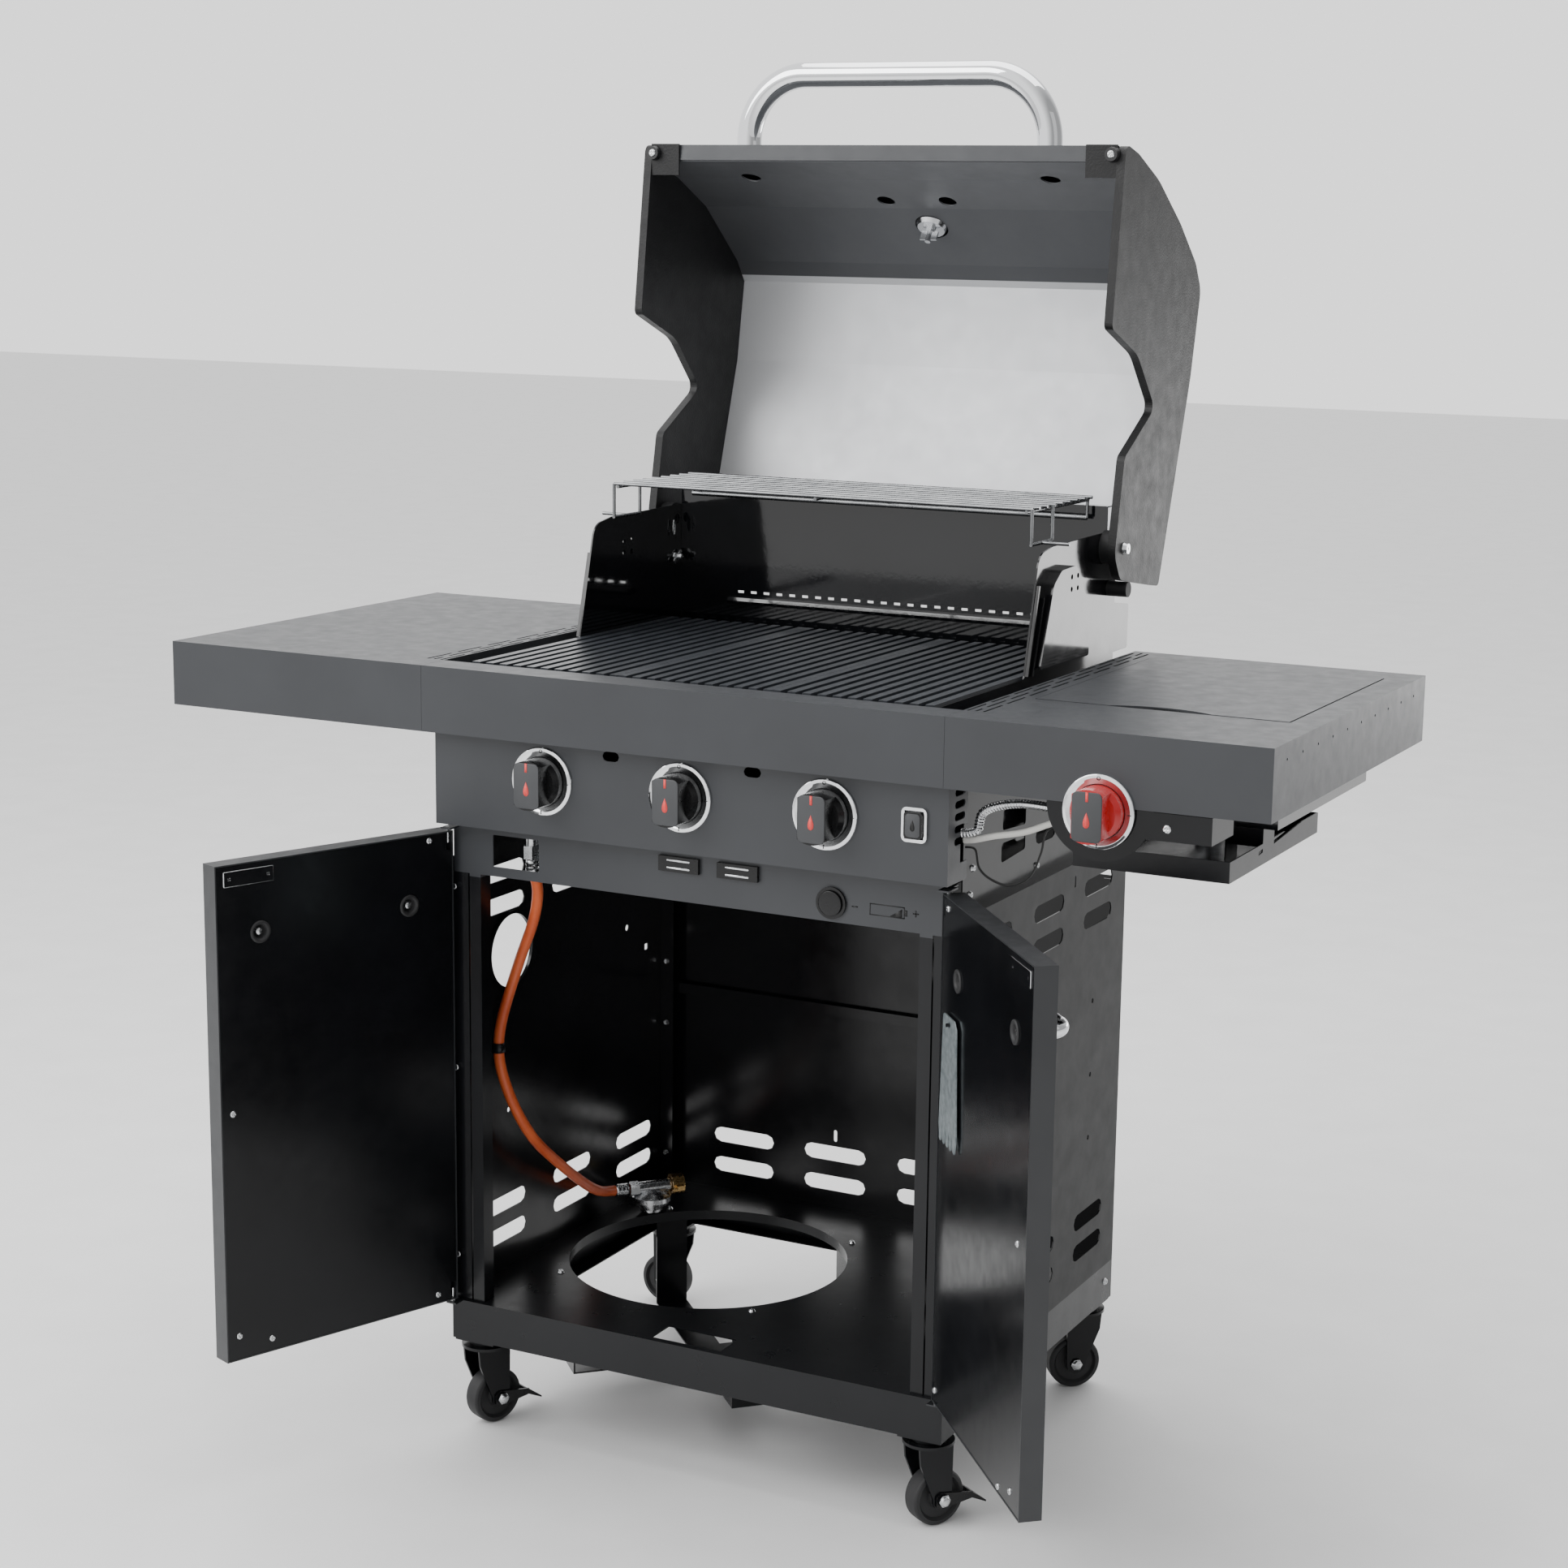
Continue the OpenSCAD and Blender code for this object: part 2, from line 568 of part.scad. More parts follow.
module door_left_shell() color(paint) left_door() door_shell_shut();
module door_left_liner() color(black) left_door() door_liner_shut();
module door_left_handle() color(chrome) left_door() door_pull_shut();
module door_right_shell() color(paint) right_door() door_shell_shut();
module door_right_liner() color(black) right_door() {
    door_liner_shut();
    rod_y(door_back - 1, door_back + 7, scraper_x, scraper_z, 4);
}
module door_right_handle() color(chrome) right_door() door_pull_shut();

// Toothed plate for cleaning the grates, hung on a peg inside the right door
scraper_x = -pivot_x + 42;
scraper_z = door_high - 129;
scraper_teeth = 5;
module scraper_tool() color(zinc) right_door() translate([scraper_x, door_back + 2, scraper_z]) wall_xz(sheet)
    difference() {
        polygon(concat(rounded([[31, -112, 0], [25, -30, 12], [24, 0, 4], [16, 8, 4], [-22, 8, 4], [-25, -30, 12],
            [-31, -112, 0]]), [for (k = [0:scraper_teeth - 1]) for (p = [[3, -18], [6.5, -20], [9, -18], [12.4, 0]])
                [-31 + 12.4 * k + p[0], -112 + p[1]]]));
        circle(d = 6, $fn = 24);
    }

// ---------- worktop ----------

module shelf_box(x0) cover([x0, 0, skirt_z], [x0 + shelf_w, shelf_d, worktop_z], sheet);

// Rows of long vents beside the firebox; the middle row starts half a step earlier
vent_l = 48;
vent_step = 61;
module vent_cuts() for (row = [0:2], i = [0:8]) {
    start = max(46, 46 + vent_step * (i - (row == 1 ? 0.5 : 0)));
    stop = min(46 + vent_step * (i - (row == 1 ? 0.5 : 0)) + vent_l, shelf_d - 12);
    if (stop - start > 12) block([3 + 9 * row, start, worktop_z - sheet - 1], [6 + 9 * row, stop, worktop_z + 1]);
}

module shelf_left() color(paint) at_origin() difference() {
    shelf_box(-shelf_x - shelf_w);
    mirror([1, 0, 0]) translate([shelf_x, 0, 0]) vent_cuts();
}

module shelf_right() color(paint) at_origin() difference() {
    shelf_box(shelf_x);
    translate([shelf_x, 0, 0]) vent_cuts();
    block([side_lid_x, side_lid_y, worktop_z - sheet - 1], [side_lid_x + side_lid_w, side_lid_y + side_lid_d, worktop_z + 1]);
    for (i = [0:9]) rod_x(shelf_x + shelf_w - sheet - 1, shelf_x + shelf_w + 1, 41 + 50 * i, worktop_z - 17, 3);
}

module console_fascia() color(paint) at_origin() {
    half = shelf_x - slack;
    difference() {
        block([-half, 0, skirt_z], [half, flange_d, worktop_z]);
        block([-half - 1, sheet, skirt_z + sheet], [half + 1, flange_d + 1, worktop_z - sheet]);
        block([-half - 1, 18, skirt_z - 1], [half + 1, flange_d + 1, skirt_z + 5]);
    }
}

module control_panel() color(paint) at_origin() difference() {
    block([-panel_w / 2, panel_front, panel_low], [panel_w / 2, panel_back, skirt_z - slack]);
    block([-panel_w / 2 + sheet, panel_front + sheet, panel_low + sheet],
        [panel_w / 2 - sheet, panel_back + 1, skirt_z + 1]);
    for (i = [-1:1]) rod_y(panel_front - 1, panel_front + 3, i * knob_pitch, knob_z, shaft_d + 3);
    for (s = [-1, 1]) translate([s * knob_pitch / 2, panel_front - 1, skirt_z - 10]) wall_xz(4) polygon(slot(21, 11));
    translate([igniter_x, panel_front - 1, knob_z]) wall_xz(4) square([igniter_w + 1, igniter_h + 1], center = true);
    for (x = [-panel_w / 2 - 1, panel_w / 2 - sheet - 1], i = [0:4]) translate([x, panel_front + 28.5, skirt_z - 64 + 13 * i])
        wall_yz(sheet + 2) polygon(slot(26, 8));
    block([panel_w / 2 - 3, panel_back - 17, skirt_z - 88], [panel_w / 2 + 1, panel_back + 1, skirt_z - 49]);
}

// Chrome ring round a knob
module knob_ring() rotate([90, 0, 0]) rotate_extrude($fn = 72)
    polygon(rounded([[knob_d / 2 + 1, 0, 0], [ring_d / 2, 0, 0], [ring_d / 2, ring_t - 1, 1.5],
        [ring_d / 2 - 4, ring_t, 1.5], [knob_d / 2 + 1, ring_t - 2, 0]], 4));

module panel_bezels() color(chrome) at_origin() {
    for (i = [-1:1]) translate([i * knob_pitch, panel_front, knob_z]) knob_ring();
    translate([side_knob_x, 0, side_knob_z]) knob_ring();
    translate([igniter_x, panel_front - 3, knob_z]) wall_xz(3) difference() {
        polygon(rounded([for (p = [[-1, -1], [1, -1], [1, 1], [-1, 1]])
            [p[0] * (igniter_w / 2 + 4), p[1] * (igniter_h / 2 + 4), 6]]));
        square([igniter_w + 1, igniter_h + 1], center = true);
    }
}

// Knob that faces the front, with its shaft hole at the origin
module knob() rotate([90, 0, 0]) difference() {
    union() {
        cylinder(d = knob_d, h = 9, $fn = 64);
        translate([0, 0, 9]) cylinder(d1 = knob_d, d2 = knob_d - 8, h = 6, $fn = 64);
        linear_extrude(knob_h) intersection() {
            circle(d = knob_d, $fn = 64);
            square([0.6 * knob_d, knob_d], center = true);
        }
    }
    translate([0, 0, -1]) cylinder(d = shaft_d + 0.1, h = 14, $fn = 32);
}

module knob_left() color(black) at_origin() translate([-knob_pitch, panel_front - 1, knob_z]) knob();
module knob_middle() color(black) at_origin() translate([0, panel_front - 1, knob_z]) knob();
module knob_right() color(black) at_origin() translate([knob_pitch, panel_front - 1, knob_z]) knob();
module knob_side() color("#c8202a") at_origin() translate([side_knob_x, -1, side_knob_z]) knob();

module igniter_button() color(black) at_origin() translate([igniter_x, panel_front - 6, knob_z]) wall_xz(14)
    polygon(rounded([for (p = [[-1, -1], [1, -1], [1, 1], [-1, 1]])
        [p[0] * igniter_w / 2, p[1] * igniter_h / 2, 4]], 4));

// Bayonet cap over the igniter's battery
module battery_cap() color(black) at_origin() translate([battery_x, frame_front, battery_z]) {
    rod_y(-3, -slack, 0, 0, battery_d);
    rod_y(-1, 14, 0, 0, 24);
    rod_y(-5, -2.5, 0, 0, 25);
}

// ---------- firebox ----------

side_outline = [[wall_front, skirt_z + 6, 0], [wall_front, worktop_z - 2, 4], [280, worktop_z - 2, 4],
    [314, side_top_z - 8, 22], [352, side_top_z - 2, 20], [548, side_top_z + 1, 6], [548, worktop_z + 54, 0],
    [594, worktop_z + 48, 4], [594, worktop_z - 5, 4], [548, worktop_z - 5, 0], [548, firebox_low, 0],
    [tub_front, firebox_low, 0], [tub_front, skirt_z - 20, 0]];
hump_outline = [[296, worktop_z + 6, 4], [330, worktop_z + 98, 16], [352, worktop_z + 112, 14],
    [396, worktop_z + 114, 12], [440, worktop_z + 60, 8], [440, worktop_z + 6, 4]];
hump_inside = [[299, worktop_z + 8, 2], [331.6, worktop_z + 97, 14], [352, worktop_z + 110, 12],
    [395, worktop_z + 112, 10], [438, worktop_z + 59, 6], [438, worktop_z + 8, 2]];
hump_out = 12;

// One side of the firebox, on the right; the left one is its mirror image
module firebox_side() {
    difference() {
        translate([plate_x, 0, 0]) wall_yz(plate_t2) polygon(rounded(side_outline));
        for (p = [[382, 106], [400, 106], [382, 92], [400, 92]]) rod_x(plate_x - 1, plate_x + 3, p[0], worktop_z + p[1], 6);
        rod_x(plate_x - 1, plate_x + 3, hinge_y, hinge_z, 12);
    }
    translate([plate_x + plate_t2, 0, 0]) difference() {
        wall_yz(hump_out) polygon(rounded(hump_outline));
        translate([-1, 0, 0]) wall_yz(hump_out - 1) polygon(rounded(hump_inside));
        for (p = [[382, 106], [400, 106], [382, 92], [400, 92]]) rod_x(-2, hump_out + 1, p[0], worktop_z + p[1] - 4, 6);
    }
    for (k = [0:1]) translate([plate_x + plate_t2, 0, 0]) wall_yz(4 + 3 * k)
        polygon(strip([[284 + 7 * k, worktop_z], [310 + 7 * k, side_top_z - 42 - 14 * k]], 3));
}

module firebox_side_right() color(enamel) at_origin() firebox_side();
module firebox_side_left() color(enamel) at_origin() mirror([1, 0, 0]) firebox_side();

// Front wall, rear wall and the sloping floor that drains to the tray
module firebox_walls() color(enamel) at_origin() {
    half = plate_x - slack;
    rest_z = grate_top - grate_t;
    difference() {
        translate([-half, 0, 0]) wall_yz(2 * half) polygon(strip([[wall_front + 14, rest_z], [wall_front, rest_z],
            [wall_front, skirt_z + 8], [tub_front, skirt_z - 18], [tub_front, firebox_low + 40],
            [tub_front + 120, firebox_low], [wall_rear - 150, firebox_low], [wall_rear + sheet, firebox_low + 40],
            [wall_rear + sheet, wall_rear_top], [wall_rear + 16, wall_rear_top]], sheet));
        for (x = [-200:18:200]) block([x - 4, wall_rear - 1, worktop_z + 34], [x + 4, wall_rear + 3, worktop_z + 37]);
        for (i = [-1:1]) rod_y(tub_front - 26, tub_front + 3, i * knob_pitch, burner_z, 20);
        block([-60, tub_front + 150, firebox_low - 5], [60, wall_rear - 180, firebox_low + 5]);
    }
    translate([-214, 0, 0]) wall_yz(428) polygon([[wall_rear + 0.5, worktop_z + 20], [wall_rear + 0.5, worktop_z + 29],
        [wall_rear - 9, worktop_z + 29], [wall_rear - 11, worktop_z + 25], [wall_rear - 9, worktop_z + 21]]);
    for (s = [-1, 1]) scale([s, 1, 1]) {
        block([151, 150, firebox_low - 37], [152.5, 460, firebox_low + 1]);
        block([138, 150, firebox_low - 37], [152, 460, firebox_low - 35.5]);
    }
}

module burners() color(steel) at_origin() for (i = [-1:1]) difference() {
    union() {
        rod_y(tub_front + 4, wall_rear - 30, i * knob_pitch, burner_z, burner_d);
        rod_y(tub_front - 32, tub_front + 6, i * knob_pitch, burner_z, 18);
        block([i * knob_pitch - 20, wall_rear - 34, burner_z - 2], [i * knob_pitch + 20, wall_rear - 26, burner_z + 2]);
    }
    rod_y(tub_front - 33, wall_rear - 32, i * knob_pitch, burner_z, 15);
    for (y = [160:40:440]) rod_x(i * knob_pitch - 20, i * knob_pitch + 20, y, burner_z, 3);
}

// Manifold pipe, its four valves with their shafts, and the elbow where the hose starts
module gas_manifold() color(zinc) at_origin() {
    pipe_y = 66;
    difference() {
        union() {
            rod_x(-226, 300, pipe_y, knob_z, 14);
            for (i = [-1:1]) {
                block([i * knob_pitch - 11, panel_front + 12, knob_z - 12], [i * knob_pitch + 11, pipe_y, knob_z + 12]);
                rod_y(panel_front - 10, panel_front + 14, i * knob_pitch, knob_z, shaft_d);
            }
            rod_y(pipe_y, 80, -219, knob_z, 14);
            rod_z(700, knob_z, -226, 80, 14);
            translate([-226, 80, 690]) cylinder(d = 22, h = 15, $fn = 6);
        }
        rod_z(692, knob_z - 2, -226, 80, 8);
    }
    block([side_knob_x - 12, 8, side_knob_z - 12], [side_knob_x + 12, 40, side_knob_z + 5]);
    rod_y(-11, 10, side_knob_x, side_knob_z, shaft_d);
}

// Corrugated plates over the burners, right under the grates
module heat_emitters() color(enamel) at_origin() for (i = [-1:1])
    translate([i * (grate_w + 0.5) - grate_w / 2 + 1, grate_front, grate_top - grate_t - 4]) wall_xz(wall_rear - grate_front - 3)
        polygon(strip([for (k = [0:2 * grate_slots]) [k * grate_pitch / 2 + (k == 0 ? 0 : 3), k % 2 ? -12 : 0]], sheet));

module cooking_grates() color("#33363b") at_origin() for (i = [-1:1])
    translate([i * (grate_w + 0.5) - grate_w / 2, grate_front, grate_top - grate_t]) {
        for (k = [0:grate_slots]) translate([k * grate_pitch, 0, 2])
            cube([grate_pitch - grate_gap, grate_d, grate_t - 2]);
        for (k = [0:3]) translate([0, k * (grate_d - 12) / 3, 0]) cube([grate_w, 12, 7]);
    }

module warming_rack() color(chrome) at_origin() {
    half = 270;
    gap = (rack_back - rack_front) / 8;
    for (k = [0:8]) rod_x(-half, half, rack_front + k * gap, rack_z, rod_d);
    for (x = [-half + 6, 0, half - 6]) rod_y(rack_front - 2, rack_back + 2, x, rack_z - rod_d + 0.8, rod_d);
    for (s = [-1, 1]) {
        rod_z(rack_foot, rack_z, s * half, rack_front, rod_d);
        rod_z(rack_foot, rack_z, s * half, rack_front + 60, rod_d);
        rod_y(rack_front - 1, rack_front + 61, s * half, rack_foot, rod_d);
        rod_x(s > 0 ? half : -half - 34, s > 0 ? half + 34 : -half, rack_front + 30, rack_foot, rod_d);
        rod_z(side_top_z + 16, rack_z, s * (half - 6), rack_back, rod_d);
    }
    rod_x(-half + 6, half - 6, rack_back, side_top_z + 16, 6);
}

// Rail behind the firebox that catches fat, drawn out at the back
module grease_tray() color(steel) at_origin() {
    tray_z = firebox_low - 34;
    difference() {
        block([-150, 130, tray_z], [150, cart_back - 60, tray_z + 24]);
        block([-150 + sheet, 130 + sheet, tray_z + sheet], [150 - sheet, cart_back - 60 - sheet, tray_z + 30]);
    }
    block([-60, cart_back - 60, tray_z + 8], [60, cart_back - 36, tray_z + 8 + sheet]);
}

// ---------- side burner ----------

module side_burner_bowl() color(enamel) at_origin() {
    top = worktop_z - sheet;
    difference() {
        union() {
            block([bowl_x, bowl_y, bowl_low], [bowl_x + bowl_w, bowl_y + bowl_d, top]);
            block([side_lid_x - 10, side_lid_y - 10, top - sheet], [side_lid_x + side_lid_w + 10, side_lid_y + side_lid_d + 10, top]);
        }
        block([bowl_x + sheet, bowl_y + sheet, bowl_low + sheet], [bowl_x + bowl_w - sheet, bowl_y + bowl_d - sheet, top + 1]);
        translate([bowl_x + bowl_w / 2, bowl_y + bowl_d / 2, bowl_low - 1]) cylinder(d = 50, h = 4, $fn = round_fn);
        block([side_lid_x + 95, side_lid_y - 9, top - sheet - 1], [side_lid_x + 185, side_lid_y + 8, top + 1]);
    }
}

// Ring burner, its feed tube and the pan support
module side_burner() color(steel) at_origin() {
    mid = [bowl_x + bowl_w / 2, bowl_y + bowl_d / 2];
    translate([mid[0], mid[1], 0]) {
        translate([0, 0, bowl_low + 36]) rotate_extrude($fn = 64) polygon([[8, 0], [34, 0], [46, 14], [46, 22], [36, 28], [8, 28]]);
        rod_z(bowl_low - 22, bowl_low + 37, 0, 0, 30);
    }
    rod_y(46, mid[1], mid[0], bowl_low - 8.5, 13);
    for (a = [45:90:315]) translate([mid[0], mid[1], worktop_z - 34]) rotate(a) block([20, -2, 0], [176, 2, 12]);
    translate([mid[0], mid[1], worktop_z - 34]) difference() {
        cylinder(d = 60, h = 8, $fn = round_fn);
        translate([0, 0, -1]) cylinder(d = 50, h = 10, $fn = round_fn);
    }
}

// Lid plate with a finger notch, hinged at the back
module side_burner_lid() color(paint) at_origin() difference() {
    block([side_lid_x + lid_edge_gap, side_lid_y + lid_edge_gap, worktop_z - sheet + 0.1],
        [side_lid_x + side_lid_w - lid_edge_gap, side_lid_y + side_lid_d - lid_edge_gap, worktop_z + 0.4]);
    translate([side_lid_x + side_lid_w / 2, side_lid_y - 100, worktop_z - 5]) cylinder(r = 116, h = 8, $fn = 96);
}

// Half-round plate under the shelf front, the valve box, and the shield under the bowl
module side_burner_brackets() color(black) at_origin() {
    difference() {
        translate([side_knob_x, sheet + slack, skirt_z]) wall_xz(sheet) intersection() {
            circle(r = 57, $fn = 72);
            translate([-60, -60]) square([120, 84]);
        }
        rod_y(0, 8, side_knob_x, side_knob_z, shaft_d + 3);
    }
    difference() {
        block([side_knob_x + 14, sheet + slack, skirt_z - 29], [side_knob_x + 118, 66, skirt_z - 1]);
        block([side_knob_x + 14 + sheet, sheet * 2 + slack, skirt_z - 29 + sheet],
            [side_knob_x + 118 - sheet, 67, skirt_z]);
    }
    tray = skirt_z - 78;
    difference() {
        block([side_knob_x - 50, 60, tray], [side_knob_x + 118, 350, tray + 22]);
        block([side_knob_x - 50 + sheet, 60 + sheet, tray + sheet], [side_knob_x + 118 - sheet, 350 - sheet, tray + 40]);
        translate([side_knob_x, 150, tray + 12]) rotate([4, 0, 0]) cube([200, 150, 4]);
    }
    for (x = [side_knob_x + 77, side_knob_x + 118 - sheet])
        block([x, bowl_y, tray + sheet / 2], [x + sheet, bowl_y + 36, bowl_low - slack]);
    block([side_knob_x + 77, bowl_y, tray + 18], [side_knob_x + 118, bowl_y + sheet, bowl_low - slack]);
}

// Corrugated gas pipe, igniter sleeve and thin lead between the console and the side valve
pipe_route = [[316, 60, 782], [324, 60, 783], [333, 60, 787], [335, 60, 796], [338, 60, 805], [348, 60, 812],
    [364, 60, 817], [384, 59, 820], [410, 57, 820], [436, 52, 819], [462, 44, 820], [476, 34, 820]];
sleeve_route = [[317, 62, 774], [330, 62, 776], [351, 62, 782], [385, 62, 790], [416, 61, 803], [440, 56, 812], [474, 46, 814]];
lead_route = [[317, 66, 766], [328, 67, 764], [333, 68, 744], [348, 69, 733], [368, 70, 730], [389, 70, 742],
    [401, 69, 768], [409, 66, 794], [440, 60, 804], [474, 50, 808]];
module side_burner_lines() at_origin() {
    color(zinc) swept(smooth(pipe_route, 3), 10, 10);
    color("white") swept(smooth(sleeve_route, 3), 7, 8);
    color(black) swept(smooth(lead_route, 3), 2.4, 6);
}

// ---------- lid ----------

module at_hinge() at_origin() translate([0, hinge_y, hinge_z]) children();

// Middle of the thermometer on the lid shell, with local Z pointing out of it
module at_dial() translate([0, 132.5, 379]) rotate([-32, 0, 0]) children();

// Boss behind each cap and the rubber stop that the open cap leans on
module lid_hinge_bosses() color(rubber) at_hinge() for (s = [-1, 1]) scale([s, 1, 1]) {
    difference() {
        rod_x(plate_x + plate_t2, lid_w / 2 - cap_t - slack, 0, 0, 40);
        rod_x(plate_x, lid_w / 2, 0, 0, 8.2);
    }
    rod_x(plate_x + plate_t2, lid_w / 2 + 1, 16, -49.6, 18);
}

module lid_cap() difference() {
    translate([lid_w / 2 - cap_t, 0, 0]) wall_yz(cap_t) polygon(rounded(cap_outline));
    rod_x(lid_w / 2 - cap_t - 1, lid_w / 2 + 1, 0, 0, 8.1);
}
// Corner bracket of the cap that wraps the front rim
module cap_bracket() {
    inner = lid_w / 2 - cap_t;
    block([inner - 38, -38.5, rim_low - 18], [inner + eps, -36, 457]);
}
module lid_cap_right() color("#2b2d30") at_hinge() {
    lid_cap();
    cap_bracket();
}
module lid_cap_left() color("#2b2d30") at_hinge() mirror([1, 0, 0]) {
    lid_cap();
    cap_bracket();
}

module lid_shell() color(paint) at_hinge() difference() {
    half = lid_w / 2 - cap_t - slack;
    translate([-half, 0, 0]) wall_yz(2 * half) polygon(strip(shell_path, -sheet));
    for (s = [-1, 1]) rod_z(380, 470, s * handle_w / 2, 17, 8);
    at_dial() translate([0, 0, -20]) cylinder(d = 8, h = 40, $fn = 32);
}

module lid_liner() color(steel) at_hinge() difference() {
    half = lid_w / 2 - cap_t - slack;
    translate([-half, 0, 0]) wall_yz(2 * half) polygon(strip(liner_path, -sheet));
    for (s = [-1, 1]) rod_z(380, 470, s * handle_w / 2, 22, 24);
    for (x = [-41, 41]) rod_z(340, 430, x, 78, 22);
    at_dial() translate([0, 0, -40]) cylinder(d = 42, h = 38, $fn = round_fn);
}

module lid_handle() color(chrome) at_hinge() {
    bend = handle_h - handle_d / 2;
    high = 447 + handle_h;
    difference() {
        union() {
            for (s = [-1, 1]) rod_z(430, high - bend, s * handle_w / 2, 17, handle_d);
            rod_x(-handle_w / 2 + bend, handle_w / 2 - bend, 17, high, handle_d);
            for (s = [0, 1]) translate([(s ? -1 : 1) * (handle_w / 2 - bend), 17, high - bend]) rotate([90, 0, 0])
                rotate(s ? 90 : 0) rotate_extrude(angle = 90, $fn = 64) translate([bend, 0]) circle(d = handle_d, $fn = 32);
        }
        translate([-handle_w, 4, 445.3]) rotate([-22.3, 0, 0]) translate([0, -60, -100]) cube([2 * handle_w, 160, 100]);
    }
}

// Thermometer with its dial outside, dish and probe inside, and the two rubber rests on the rim
module lid_fittings() color(chrome) at_hinge() {
    for (s = [-1, 1]) translate([s * (lid_w / 2 - 15), -38.5, 446]) rotate([90, 0, 0])
        cylinder(d1 = 18, d2 = 15, h = 7, $fn = 32);
    at_dial() {
        translate([0, 0, 1]) cylinder(d1 = 76, d2 = 70, h = 8, $fn = 72);
        translate([0, 0, -40]) cylinder(d = 7, h = 42, $fn = 24);
        translate([0, 0, -22]) rotate_extrude($fn = round_fn)
            polygon([[3, 0], [17, 0], [20, 5], [20, 12], [18.5, 12], [16, 2], [3, 2]]);
        translate([0, 0, -27]) cylinder(d = 13, h = 6, $fn = 6);
        for (s = [-1, 1]) scale([s, 1, 1]) block([3, -1.2, -37], [11, 1.2, -25]);
    }
}

// ---------- gas hose and regulator ----------

module gas_hose() color("#e0582f") at_origin() swept(smooth(hose_route, 3), hose_d, 10);

// Local frame of the regulator: +X runs on from the hose's end
module at_regulator() at_origin() translate(reg_at) rotate(reg_turn) children();

module regulator_body() color(steel) at_regulator() {
    rotate([0, 90, 0]) cylinder(d = 20, h = 12, $fn = 6);
    translate([12, 0, 0]) rotate([0, 90, 0]) cylinder(d = 15, h = 44, $fn = 32);
    translate([30, 0, -31]) rotate_extrude($fn = 64) polygon([[0, 0], [14, 0], [16, 4], [25, 14], [25, 20], [12, 26], [0, 30]]);
}

module regulator_nut() color("#b08d3c") at_regulator() translate([56, 0, 0]) difference() {
    union() {
        rotate([0, 90, 0]) cylinder(d = 26, h = 16, $fn = 48);
        for (a = [0, 180]) rotate([a, 0, 0]) block([3, 9, -2.5], [13, 20, 2.5]);
    }
    translate([-1, 0, 0]) rotate([0, 90, 0]) cylinder(d = 20, h = 18, $fn = 48);
}
base_pan();
bottle_straps();
side_panel_left();
side_panel_right();
back_panel();
front_frame();
cabinet_clips();
shelf_left();
shelf_right();
console_fascia();
control_panel();
panel_bezels();
firebox_side_left();
firebox_side_right();
firebox_walls();
burners();
gas_manifold();
heat_emitters();
cooking_grates();
warming_rack();
side_burner_bowl();
side_burner();
side_burner_brackets();
side_burner_lines();
lid_hinge_bosses();
cart_fasteners();
battery_cap();
grease_tray();
lid_shell();
lid_liner();
lid_cap_left();
lid_cap_right();
lid_handle();
lid_fittings();
door_left_shell();
door_left_liner();
door_left_handle();
door_right_shell();
door_right_liner();
door_right_handle();
scraper_tool();
knob_left();
knob_middle();
knob_right();
knob_side();
igniter_button();
side_burner_lid();
fork_front_left();
fork_front_right();
fork_rear_left();
fork_rear_right();
wheel_front_left();
wheel_front_right();
wheel_rear_left();
wheel_rear_right();
brake_front_left();
brake_front_right();
gas_hose();
regulator_body();
regulator_nut();
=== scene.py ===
"""A three-burner gas barbecue on its cart, lid up and doors open, in a plain studio.

Every length is in metres. The CAD nodes carry the shapes; this script gives them their
finishes and adds the hose, screws, knob grips, dial and other small pieces.
"""

import json
import math

import bmesh
import bpy
from mathutils import Euler, Matrix, Vector


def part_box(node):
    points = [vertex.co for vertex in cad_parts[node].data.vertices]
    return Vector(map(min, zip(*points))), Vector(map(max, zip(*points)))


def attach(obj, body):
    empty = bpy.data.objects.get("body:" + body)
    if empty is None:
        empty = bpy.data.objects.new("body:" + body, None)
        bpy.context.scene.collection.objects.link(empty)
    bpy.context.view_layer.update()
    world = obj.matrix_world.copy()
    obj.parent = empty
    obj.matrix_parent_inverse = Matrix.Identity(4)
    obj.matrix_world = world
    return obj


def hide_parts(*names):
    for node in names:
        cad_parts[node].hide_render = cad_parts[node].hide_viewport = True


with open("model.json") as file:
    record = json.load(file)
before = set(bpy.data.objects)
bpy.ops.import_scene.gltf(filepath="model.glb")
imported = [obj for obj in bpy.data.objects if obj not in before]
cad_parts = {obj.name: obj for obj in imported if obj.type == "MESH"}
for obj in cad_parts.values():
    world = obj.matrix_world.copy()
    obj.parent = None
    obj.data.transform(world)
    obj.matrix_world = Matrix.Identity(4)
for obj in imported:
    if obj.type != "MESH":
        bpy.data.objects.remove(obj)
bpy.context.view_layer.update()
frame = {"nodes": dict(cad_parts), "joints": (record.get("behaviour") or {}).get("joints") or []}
MM = 0.001

# ---------- places, taken from the frame ----------

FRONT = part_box("shelf_left")[0][1]          # the plane of the shelf fronts
JOINT = {j["name"]: j for j in frame["joints"]}
LEFT_HINGE = Vector(JOINT["door_left_hinge"]["pos_m"])
RIGHT_HINGE = Vector(JOINT["door_right_hinge"]["pos_m"])
LID_HINGE = Vector(JOINT["lid_hinge"]["pos_m"])
LEFT_OPEN = math.radians(JOINT["door_left_hinge"]["range_deg"][1])
RIGHT_OPEN = math.radians(-JOINT["door_right_hinge"]["range_deg"][0])
DOOR_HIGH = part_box("door_left_shell")[1][2]


def place(x, y, z):
    """A point given in millimetres from the cart's centre line, the shelf fronts and the ground."""
    return Vector((x * MM, y * MM + FRONT, z * MM))


# ---------- camera ----------

